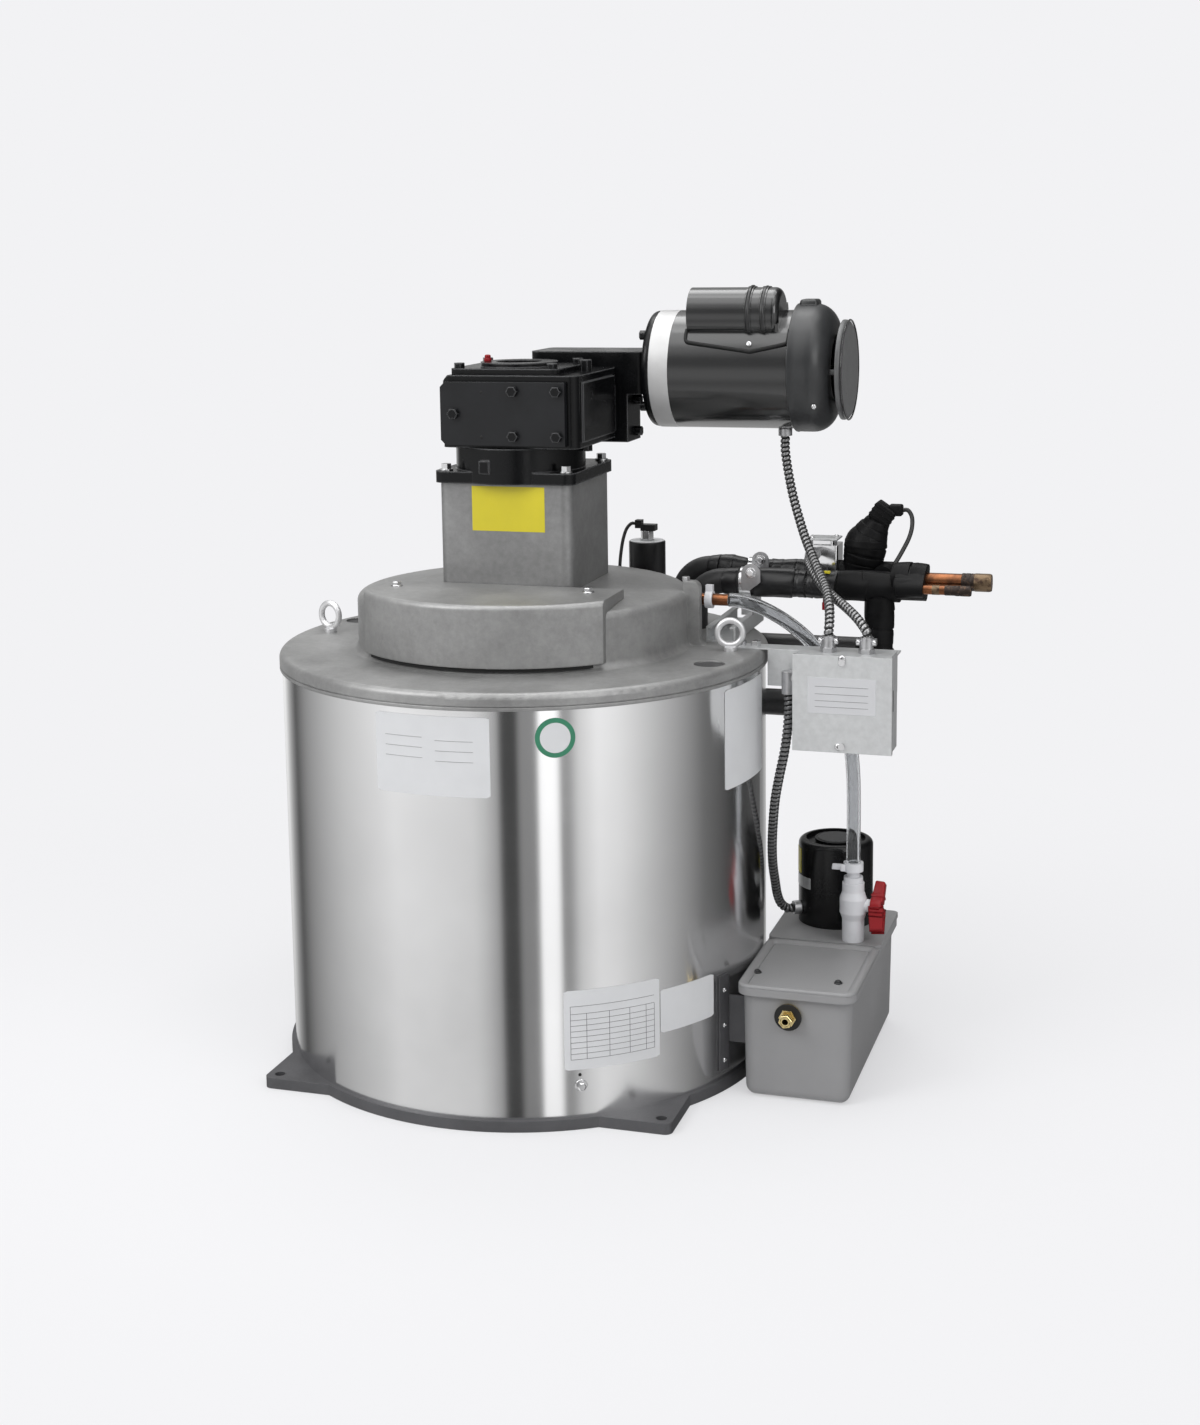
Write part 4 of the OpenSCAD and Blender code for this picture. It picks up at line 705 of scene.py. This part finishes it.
def sleeve(bm, origin, axis, length, r0, r1, lean, phase, lip, wave):
    """One turn of wrapped sheet: a soft tube with a leaning edge at each end."""
    m = toward(origin, axis)
    stations = [(0, -lip), (0.02, -0.2), (0.06, 0), (0.3, 0.15), (0.55, -0.1), (0.8, 0.12), (0.95, 0),
                (0.98, -0.2), (1, -lip)]
    rings = []
    for f, d in stations:
        ring = []
        for k in range(SLEEVE_SIDES):
            t = 2 * math.pi * k / SLEEVE_SIDES
            ripple = wave * math.sin(3 * t + phase + 4 * f) + wave * 0.6 * math.sin(5 * t - phase)
            r = r0 + (r1 - r0) * f + d + ripple
            point = Vector((r * math.cos(t), r * math.sin(t), length * f + lean * math.cos(t + phase)))
            ring.append(bm.verts.new(m @ (point * MM)))
        rings.append(ring)
    skin(bm, rings)


def pipe_wraps():
    bm = bmesh.new()
    suction = [(246, 268, 18.2, 18.7, 2, 0.3), (288.5, 345, 20.0, 20.9, -3, 0.5),
               (342, 354, 18.9, 18.6, 2, 0.3), (352.5, 364, 19.4, 19.0, -2, 0.3),
               (362.5, 373, 19.0, 19.5, 2.5, 0.3), (372, 384, 19.9, 19.2, -2, 0.3),
               (382, 406, 18.7, 19.6, 2, 0.5)]
    for k, (x0, x1, r0, r1, lean, wave) in enumerate(suction):
        sleeve(bm, (x0, 150, 631.5), (1, 0, 0), x1 - x0, r0, r1, lean, 0.9 * k, 1.1, wave)
    liquid = [(213, 229, 17.2, 18.6, 2), (227, 247, 19.0, 19.6, -2), (245, 268, 19.2, 16.0, 2.5),
              (288, 305, 14.6, 15.0, 1.5), (304, 322, 15.6, 14.9, -2), (320, 340, 15.2, 15.8, 2),
              (338, 353.5, 16.2, 15.7, -1)]
    for k, (x0, x1, r0, r1, lean) in enumerate(liquid):
        sleeve(bm, (x0, 200, 641.5), (1, 0, 0), x1 - x0, r0, r1, lean, 1.3 * k, 1.0, 0.4)
    finish_piece("pipe_wraps", bm, "tape", smooth=40)


def boot_wraps():
    """Dark wraps on the tee, its drop, the actuator and the sleeves around the copper stubs."""
    bm = bmesh.new()
    sleeve(bm, (403, 150, 631.5), (1, 0, 0), 45, 20.2, 21.6, -4, 0.8, 1.1, 0.7)
    sleeve(bm, (445, 150, 631.5), (1, 0, 0), 44, 21.8, 20.4, 4, 1.6, 1.1, 0.7)
    drop = [(618, 596, 20.2, 20.9, 3), (598, 572, 20.6, 19.6, -3), (573, 552, 19.3, 19.7, 2)]
    for k, (z0, z1, r0, r1, lean) in enumerate(drop):
        sleeve(bm, (464, 150, z0), (0, 0, -1), z0 - z1, r0, r1, lean, 2.1 * k, 1.0, 0.5)
    pear = [(645, 25.8, 27.0, 12, 2), (656, 27.2, 28.6, 12, -2.5), (667, 28.6, 29.8, 12, 3),
            (678, 30.0, 29.0, 11, -3), (687, 28.9, 26.0, 9, 2)]
    foot, run, rise = Vector((429.3, 200, 641.5)), 6, 41
    for k, (z0, r0, r1, h, lean) in enumerate(pear):
        start = (foot.x + run * (z0 - foot.z) / rise, foot.y, z0)
        sleeve(bm, start, (run, 0, rise), h, r0, r1, lean, 1.7 * k, 0.5, 0.3)
    tip = math.radians(28)
    lead = Vector((math.sin(tip), 0, math.cos(tip)))
    for k, (f, h, r0, r1) in enumerate([(16, 12, 25.0, 20.5), (26, 12, 20.0, 16.8)]):
        sleeve(bm, Vector((435.3, 200, 682.5)) + lead * f, lead, h, r0, r1, 1.5, 1.1 * k, 0.5, 0.3)
    sleeve(bm, (486, 149, 643), (1, 0, 0), 24, 22.6, 23.4, 4, 0.5, 1.2, 0.8)
    sleeve(bm, (507, 149, 643), (1, 0, 0), 20.8, 23.2, 22.4, -3, 1.8, 1.2, 0.9)
    sleeve(bm, (490, 126, 635), (1, 0, 0), 36.5, 14.2, 13.0, 2, 0.9, 1.0, 0.7)
    finish_piece("boot_wraps", bm, "boot", smooth=40)


def stub_ends():
    """Charred bands and brazed sleeves on the two copper stubs."""
    bm = bmesh.new()
    turned(bm, toward((576, 150, 642), (1, 0, 0)),
           [(0, 0), (11.6, 0), (12.1, 1), (12.1, 4), (11.7, 5), (12.2, 6), (12.2, 11), (11.8, 12), (12.1, 13),
            (11.9, 17), (0, 17)], 36)
    turned(bm, toward((557, 122, 634.5), (1, 0, 0)),
           [(0, 0), (6.7, 0), (6.9, 1), (6.8, 13), (7.2, 14.5), (7.3, 19), (6.9, 20), (7.3, 21), (7.3, 33),
            (6.4, 35.2), (0, 35.2)], 30)
    finish_piece("stub_bands", bm, "charred")
    bm = bmesh.new()
    turned(bm, toward((593, 150, 642), (1, 0, 0)),
           [(0, 0), (11.9, 0), (12.4, 1), (12.4, 20), (11.4, 23.0), (9.2, 23.2), (8.4, 21.5), (0, 21.0)], 36)
    turned(bm, toward((540, 122, 634.5), (1, 0, 0)),
           [(0, 0), (6.5, 0), (6.6, 0.6), (6.6, 9.4), (6.5, 10), (0, 10)], 30)
    finish_piece("stub_sleeves", bm, "burnt")


EAR_HALF_T = 1.6


def ears():
    """Rounded tabs of the pipe clamps, each with a bolt through it."""
    bm, bolts = bmesh.new(), bmesh.new()
    for x, y, z, r in ((288.5, 127.8, 647, 13.5), (289.5, 181.8, 657, 12)):
        arc = [math.radians(180 - a) for a in range(0, 181, 12)]
        outline = [(x - r, z - 24), *((x + r * math.cos(a), z + r * math.sin(a)) for a in arc),
                   (x + r, z - 12), (x - r + 12, z - 24)]
        front, back = ([bm.verts.new(Vector((u, y + side, v)) * MM) for u, v in outline]
                       for side in (-EAR_HALF_T, EAR_HALF_T))
        bm.faces.new(front)
        bm.faces.new(back)
        bridge(bm, front, back)
        hex_bolt(bolts, (x, y - EAR_HALF_T, z + 1), (0, -1, 0), 10, 5, 7.5, 0.3)
    finish_piece("clamp_ears", bm, "diecast")
    finish_piece("clamp_bolts", bolts, "zinc")


BOX_SCREWS = ((448, 567.7), (443.5, 450.6))


def motor_arm(r, degrees):
    """Way from the motor's axis to its front, at an angle above the level."""
    a = math.radians(degrees)
    return r * Vector((0, -math.cos(a), math.sin(a)))


def screws():
    bm = bmesh.new()
    hex_bolt(bm, polar(JACKET_R + 0.1, -60, 56), polar(1, -60, 0), 10, 5, 8)
    for z in (136, 88, 40):
        pan_screw(bm, polar(332.55, -21.3, z), polar(1, -21.3, 0), 3.4, 2.2)
    for x, z in BOX_SCREWS:
        pan_screw(bm, (x, -39.3, z), (0, -1, 0), 4.8, 2.6)
    for x in (425, 475):
        for side in (-10.5, 10.5):
            pan_screw(bm, (x + side, -16.0, 586), (0, -1, 0), 3.2, 2.4)
    for x, arm, r, h in ((384, motor_arm(84.0, -32), 4.0, 2.2), (296, motor_arm(82.1, 28), 4.2, 2.6)):
        pan_screw(bm, Vector((x, MOTOR_Y, MOTOR_Z)) + arm, arm, r, h)
    for x, y in ((362, 188), (392, 212)):
        pan_screw(bm, (x, y, 690.2), (0, 0, 1), 3.2, 2.2)
    for x, y in ((-138, -116), (127, -108)):
        hex_bolt(bm, (x, y, 654.05), (0, 0, 1), 11, 5, 8)
    finish_piece("small_screws", bm, "zinc")
    bm = bmesh.new()
    for x, y in ((346, -84), (456, -96)):
        hex_bolt(bm, (x, y, 150.2), (0, 0, 1), 7, 2.6, 5.5)
    finish_piece("lid_screws", bm, "shroud")


FITTING_X, FITTING_Z = 399.6, 116


def painted_shade_and_seal():
    """Painted shade in the recesses of screws, the gap under the cover, small holes and the box's knockout, and
    the seal of the water fitting.
    """
    bm = bmesh.new()
    # Painted shadow: a dark band in the gap under the cover
    drum_plate(bm, -131.5, -48.5, 568.4, 572.0, 0.15, 5.2, 0.0, COVER_R)
    # Painted shade: dark discs where the small holes are
    turned(bm, toward(polar(JACKET_R + 0.05, -60.2, 70), polar(1, -60.2, 0)),
           [(0, 0), (2.2, 0), (2.0, 0.3), (0, 0.25)], 20)
    for x, z in ((-24, 911), (-25, 852)):
        turned(bm, toward((x, -85, z), (0, -1, 0)), [(0, 0), (2.0, 0), (1.4, 0.7), (0, 0.9)], 18)
    turned(bm, toward((FITTING_X, -143.0, FITTING_Z), (0, -1, 0)),
           [(0, 0), (17.4, 0), (17.8, 0.5), (17.8, 1.3), (17.2, 1.8), (0, 1.8)], 40)
    # Blocks come last: what is made after a bevel takes its freed faces, in an order that changes by run
    # Painted shade in the screws' cross recesses and in the box's knockout
    for x, z in BOX_SCREWS:
        block(bm, at(x, -41.3, z), (5.6, 1.0, 1.3), 0.3, 1)
        block(bm, at(x, -41.3, z), (1.3, 1.0, 5.6), 0.3, 1)
    block(bm, at(511.1, -17, 510), (0.5, 5, 28), 0.2, 1)
    finish_piece("painted_shade_and_seal", bm, "dark")


def fitting_tip():
    bm = bmesh.new()
    outer, inner = 16 / math.sqrt(3), 6.6
    turned(bm, toward((FITTING_X, -156.9, FITTING_Z), (0, -1, 0)),
           [(inner, 0), (outer, 0), (outer, 3.4), (outer - 0.8, 4.1), (inner, 4.1), (inner, 0)], 6, 0.2)
    finish_piece("fitting_tip", bm, "brass")


def on_motor(x, z, r):
    """Point at height z on the front of a shell of radius r around the motor's axis."""
    return x, MOTOR_Y - math.sqrt(r ** 2 - (z - MOTOR_Z) ** 2), z


def capacitor_skirt():
    """Thin sheet under the capacitor cover, lying on the motor frame, with a shallow V as its lower edge."""
    x0, x_low, x1 = 209, 297, 346
    z_side, z_low, z_top = 968, 956, 986
    across, up = 28, 7
    bm = bmesh.new()
    rows = []
    for k in range(across + 1):
        x = x0 + (x1 - x0) * k / across
        if x < x_low:
            low = z_side - (z_side - z_low) * (x - x0) / (x_low - x0)
        else:
            low = z_low + (z_side - z_low) * (x - x_low) / (x1 - x_low)
        heights = [low + (z_top - low) * j / (up - 1) for j in range(up)]
        points = [on_motor(x, z, r) for r in (81.05, 82.1) for z in heights]
        rows.append([bm.verts.new(Vector(p) * MM) for p in points])
    last = up - 1
    for a, b in zip(rows, rows[1:]):
        for j in (*range(last), *range(up, up + last)):
            bm.faces.new((a[j], b[j], b[j + 1], a[j + 1]))
        for j in (0, last):
            bm.faces.new((a[j], b[j], b[j + up], a[j + up]))
    for row in (rows[0], rows[-1]):
        for j in range(last):
            bm.faces.new((row[j], row[j + 1], row[j + 1 + up], row[j + up]))
    finish_piece("capacitor_skirt", bm, "motor")


def capacitor_seal():
    """Dark bead along the lower edge of the skirt."""
    edge = [(206.5, 984), (206.5, 975), (208.5, 969), (216, 966.8), (255, 961.6), (291, 956.6), (297, 955.6),
            (303, 956.8), (340, 964.6), (347, 967), (349, 973), (349, 984)]
    path, _ = sweep_points([on_motor(x, z, 82.4) for x, z in edge], 2.5)
    bm = bmesh.new()
    tube(bm, path, lambda i, t: 2.4 * MM, 10, Vector((0, 1, 0)))
    finish_piece("capacitor_seal", bm, "dark", smooth=60)


def capacitor_beads():
    """Two raised rings around the capacitor cover, kept outside the motor frame."""
    bm = bmesh.new()
    for x0, rise in ((288.7, 3.2), (308.7, 2.4)):
        turned(bm, toward((x0, 127.8, 1002.9), (1, 0, 0)),
               [(36.4, 0), (37 + rise * 0.6, 0.8), (37 + rise, 3), (37 + rise, 4.5), (37 + rise * 0.6, 6.4),
                (36.4, 7.2), (36.4, 0)], 64)
    shell = 80.8 * MM
    axis = Vector((0, MOTOR_Y, MOTOR_Z)) * MM
    for v in bm.verts:
        arm = Vector((0, v.co.y, v.co.z)) - axis
        if arm.length < shell:
            arm *= shell / arm.length
            v.co = Vector((v.co.x, axis.y + arm.y, axis.z + arm.z))
    finish_piece("capacitor_beads", bm, "black", smooth=50)


def shroud():
    """Drawn fan cover with a rolled open edge, a deep round shoulder and the terminal pad on top."""
    def shoulder(radius, angles):
        turns = (math.radians(a) for a in angles)
        return [(57.4 + radius * math.cos(t), 22.9 + radius * math.sin(t)) for t in turns]

    outer = [(86.4, 0), (87.6, 0.6), (87.9, 1.8), (87.2, 3.4), (87.4, 12), (87.4, 22)]
    inner = [(45.5, 53.0), (45.5, 50.2), (57, 50.2)]
    profile = outer + shoulder(30, range(8, 91, 8)) + inner + shoulder(27, range(82, -1, -12))
    bm = bmesh.new()
    turned(bm, toward((348.8, MOTOR_Y, 929.5), (1, 0, 0)), profile + [(84.2, 0), (86.4, 0)], 96)
    taper(bm, at(365, MOTOR_Y, 1000), (27, 36), (24, 32), 22.8, 4.0, 3)
    obj = finish_piece("fan_cover_drawn", bm, "shroud", smooth=40)
    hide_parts("fan_cover")


def lid_rim():
    """Raised rim around the front panel of the tank lid."""
    x0, x1, y0, y1, c = 334.5, 482.7, -141.1, 41.5, 14
    top = 150.3
    corners = ((x1 - c, y1 - c, 0), (x0 + c, y1 - c, 90), (x0 + c, y0 + c, 180), (x1 - c, y0 + c, 270))
    section = [(-3.4, -0.2), (-3.2, 2.2), (-2.2, 3.6), (0, 4.2), (3, 4.0), (6, 2.6), (8.5, 0.8), (9.5, -0.2)]
    bm = bmesh.new()
    rows = []
    for cx, cy, a0 in corners:
        for k in range(9):
            a = math.radians(a0 + 90 * k / 8)
            points = [(cx + (c - u) * math.cos(a), cy + (c - u) * math.sin(a), top + v) for u, v in section]
            rows.append([bm.verts.new(Vector(p) * MM) for p in points])
    for i, a in enumerate(rows):
        b = rows[(i + 1) % len(rows)]
        for j in range(len(section)):
            n = (j + 1) % len(section)
            bm.faces.new((a[j], b[j], b[n], a[n]))
    finish_piece("lid_rim", bm, "tank", smooth=50)


def handle():
    """Moulded lever cover of the valve: a hub with a wing and a rib on either side."""
    bm = bmesh.new()
    m = at(470.3, 62, 205.3) @ Matrix.Rotation(math.radians(-30), 4, "X")
    along = Matrix.Rotation(math.radians(90), 4, "Y")
    tilt = Matrix.Rotation(math.radians(5), 4, "Y")
    turned(bm, m @ along, [(0, 0), (11.4, 0), (12.2, 0.9), (12.2, 12.5), (11, 14.5), (8.4, 15.4), (7.4, 15.2),
                           (6.6, 13.4), (0, 13.2)], 36)
    for half in (0, math.pi):
        side = m @ Matrix.Rotation(half, 4, "X")
        taper(bm, side @ at(8.6, 0, 4) @ tilt, (16.5, 21.0), (13.5, 16.5), 30, 2.4, 3)
        taper(bm, side @ at(9.2, 0, 11), (17.8, 21.8), (17.0, 20.6), 4.5, 1.2, 2)
    obj = finish_piece("valve_handle_moulded", bm, "red", body="valve_lever")
    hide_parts("valve_handle")


def hose_lock():
    bm = bmesh.new()
    taper(bm, at(426, 55, 255.5), (17, 4.5), (15, 4.0), 8, 1.0)
    taper(bm, at(434, 51, 255), (7, 6), (6, 5.5), 9, 1.0)
    finish_piece("hose_clamp_lock", bm, "white")


def plug():
    """Ribbed plug on the actuator and its side outlet."""
    bm = bmesh.new()
    m = at(459.5, 200, 725.5) @ Matrix.Rotation(math.radians(34), 4, "Y")
    block(bm, m, (31, 27, 26), 3.0, 3)
    for rise in (-7, 0, 7):
        block(bm, m @ at(0, 0, rise), (32.6, 28.6, 3.4), 1.2, 2)
    block(bm, at(477.5, 200, 731), (19, 17, 16), 3.0, 3)
    finish_piece("plug_moulded", bm, "boot")


def sensor_top():
    bm = bmesh.new()
    turned(bm, at(*SENSOR_AXIS, 665.5),
           [(10.5, 0), (25.5, 0), (25.5, 0.5), (25.1, 0.8), (10.5, 0.8), (10.5, 0)], 48)
    finish_piece("sensor_disc", bm, "paper")
    bm = bmesh.new()
    turned(bm, at(*SENSOR_AXIS, 665.6), [(0, 0), (9.7, 0), (9.7, 13.9), (9.2, 14.7), (0, 14.7)], 6)
    finish_piece("sensor_neck", bm, "zinc")


def colour_bits():
    """Red vent cap and valve pin, and a yellow tag on the pipe."""
    bm = bmesh.new()
    turned(bm, at(-45, 0, 946.5),
           [(0, 0), (5.2, 0), (5.2, 3), (4.2, 3.4), (4.2, 7), (3.2, 8.4), (0, 8.8)], 24)
    turned(bm, at(388, 150, 605), [(0, 0), (2.6, 0), (3.0, 1), (3.0, 8), (0, 9.5)], 16)
    taper(bm, at(388, 148, 596), (7, 3), (7, 3), 11, 0.8)
    finish_piece("red_bits", bm, "red")
    bm = bmesh.new()
    taper(bm, at(391, 143, 648.5), (12, 8), (11, 7), 3.2, 0.6)
    finish_piece("yellow_tag", bm, "yellow")


def pads():
    """Rim of the motor's end plate, pads on the reducer and the valve block, and the pump's plates."""
    bm = bmesh.new()
    turned(bm, toward((418.2, MOTOR_Y, MOTOR_Z), (1, 0, 0)),
           [(66.4, 0), (68.3, 0.1), (68.9, 0.9), (68.5, 1.7), (66.4, 1.9), (66.4, 0)], 96)
    finish_piece("end_plate_rim", bm, "motor", smooth=50)
    bm = bmesh.new()
    block(bm, at(105.4, 28.5, 876.5), (0.6, 138, 62), 0.25, 1)
    finish_piece("gear_pad", bm, "black")
    bm = bmesh.new()
    block(bm, at(377, 200, 689.0), (44, 40, 2.4), 0.7, 2)
    finish_piece("block_plate", bm, "galv")
    bm = bmesh.new()
    drum_plate(bm, -166, -121, 208, 224, 0.1, 0.4, 1.0, PUMP_R, PUMP_AXIS)
    finish_piece("pump_plates", bm, "galv")
    bm = bmesh.new()
    turned(bm, at(*PUMP_AXIS, 273.2), [(0, 0), (25, 0), (25, 0.4), (24.5, 0.8), (0, 0.8)], 48)
    finish_piece("pump_disc", bm, "shroud")
    bm = bmesh.new()
    drum_plate(bm, -170, -146, 226, 262, 0.1, 0.4, 1.0, PUMP_R, PUMP_AXIS)
    finish_piece("pump_tag", bm, "yellow")


pipe_wraps()
boot_wraps()
stub_ends()
ears()
screws()
painted_shade_and_seal()
fitting_tip()
capacitor_skirt()
capacitor_seal()
capacitor_beads()
shroud()
lid_rim()
handle()
hose_lock()
plug()
sensor_top()
colour_bits()
pads()


# ---------------------------------------------------------------- stage
# Light of the studio, by bearing in degrees with the front at 0, and by height from nadir to zenith
CARDS = [(-180, 0.5), (-140, 0.95), (-128, 0.4), (-119, 0.1), (-106, 0.34), (-75, 0.75), (-45, 1.08),
         (-15, 0.95), (-6, 0.9), (0, 0.72), (6, 0.46), (7.5, 0.08), (14.5, 0.08), (16, 0.34), (22.5, 0.32),
         (23.5, 0.1), (24.8, 1.5), (33.4, 1.5), (34.4, 0.4), (38.5, 0.42), (43, 0.85), (52, 1.12), (62, 1.02),
         (85, 0.6), (110, 0.2), (135, 0.05), (165, 0.12), (180, 0.5)]
FALL = [(0.0, 1.5), (0.12, 1.2), (0.3, 0.6), (0.4, 1.0), (0.5, 0.95), (0.59, 0.42), (0.7, 0.36), (0.76, 0.75),
        (0.84, 1.1), (0.9, 2.5), (0.96, 2.4), (1.0, 1.8)]


def make_world():
    world = bpy.data.worlds.new("studio")
    scene.world = world
    world.use_nodes = True
    g = Nodes(world.node_tree)
    out = g.add("ShaderNodeOutputWorld")
    way = g.add("ShaderNodeTexCoord").outputs["Generated"]
    part = g.add("ShaderNodeSeparateXYZ")
    g.link(way, part.inputs[0])
    x, y, z = part.outputs
    turn = g.math("DIVIDE", g.math("ARCTAN2", x, g.math("MULTIPLY", y, -1)), 2 * math.pi)
    turn = g.math("ADD", turn, 0.5)
    cards = g.ramp(turn, [(0.5 + bearing / 360, level) for bearing, level in CARDS])
    fall = g.ramp(g.math("MULTIPLY", g.math("ADD", z, 1), 0.5), FALL)
    both = g.add("ShaderNodeMix", data_type="RGBA", blend_type="MULTIPLY")
    both.inputs["Factor"].default_value = 1
    g.link(cards, both.inputs["A"])
    g.link(fall, both.inputs["B"])
    light = g.add("ShaderNodeBackground")
    g.link(both.outputs["Result"], light.inputs["Color"])
    light.inputs["Strength"].default_value = 1.0
    plain = g.add("ShaderNodeBackground")
    plain.inputs["Color"].default_value = BACKDROP
    seen = g.add("ShaderNodeLightPath")
    pick = g.add("ShaderNodeMixShader")
    direct = g.math("MAXIMUM", seen.outputs["Is Camera Ray"], seen.outputs["Is Transmission Ray"])
    g.link(direct, pick.inputs[0])
    g.link(light.outputs[0], pick.inputs[1])
    g.link(plain.outputs[0], pick.inputs[2])
    g.link(pick.outputs[0], out.inputs[0])


FLOOR_CLOTH = (0.68, 0.68, 0.693, 1)
FLOOR_Z = -0.0006
FLOOR_SIDES = 96


def make_floor():
    """Wide pale disc that takes the shadow and goes over into the backdrop away from the part."""
    bm = bmesh.new()
    rings = []
    for r in (0, 0.6, 1.2, 2.4, 5, 12, 40, 120):
        turns = (2 * math.pi * k / FLOOR_SIDES for k in range(FLOOR_SIDES if r else 1))
        rings.append([bm.verts.new((r * math.cos(t), r * math.sin(t), FLOOR_Z)) for t in turns])
    for a, b in zip(rings, rings[1:]):
        for k in range(FLOOR_SIDES):
            n = (k + 1) % FLOOR_SIDES
            bm.faces.new((a[0], b[k], b[n]) if len(a) == 1 else (a[k], b[k], b[n], a[n]))
    mesh = bpy.data.meshes.new("floor")
    bm.to_mesh(mesh)
    bm.free()
    floor = bpy.data.objects.new("floor", mesh)
    scene.collection.objects.link(floor)
    floor.visible_glossy = False
    m = bpy.data.materials.new("floor")
    m.use_nodes = True
    g = Nodes(m.node_tree)
    out = g.add("ShaderNodeOutputMaterial")
    cloth = g.add("ShaderNodeBsdfDiffuse")
    cloth.inputs["Color"].default_value = FLOOR_CLOTH
    glow = g.add("ShaderNodeEmission")
    glow.inputs["Color"].default_value = BACKDROP
    place = g.add("ShaderNodeTexCoord").outputs["Object"]
    size = g.add("ShaderNodeVectorMath", operation="LENGTH")
    g.link(place, size.inputs[0])
    far = g.spread(size.outputs["Value"], 0.55, 1.0, 0.5, 1.6)
    seen = g.add("ShaderNodeLightPath")
    mix = g.add("ShaderNodeMixShader")
    g.link(g.math("MULTIPLY", far, seen.outputs["Is Camera Ray"]), mix.inputs[0])
    g.link(cloth.outputs[0], mix.inputs[1])
    g.link(glow.outputs[0], mix.inputs[2])
    g.link(mix.outputs[0], out.inputs[0])
    mesh.materials.append(m)


def lamp(name, place, target, size, power):
    data = bpy.data.lights.new(name, "AREA")
    data.shape = "RECTANGLE"
    data.size, data.size_y = size
    data.energy = power
    obj = bpy.data.objects.new(name, data)
    obj.location = place
    obj.rotation_euler = (Vector(target) - Vector(place)).to_track_quat("-Z", "Y").to_euler()
    scene.collection.objects.link(obj)


make_world()
make_floor()
lamp("key", (-2.2, -2.6, 2.9), (0, 0, 0.6), (1.8, 1.8), 60)
lamp("fill", (3.0, -1.8, 2.2), (0.2, 0, 0.5), (1.6, 1.6), 26)
lamp("top", (0.2, 0.6, 3.6), (0.1, 0, 0.6), (2.4, 2.4), 40)
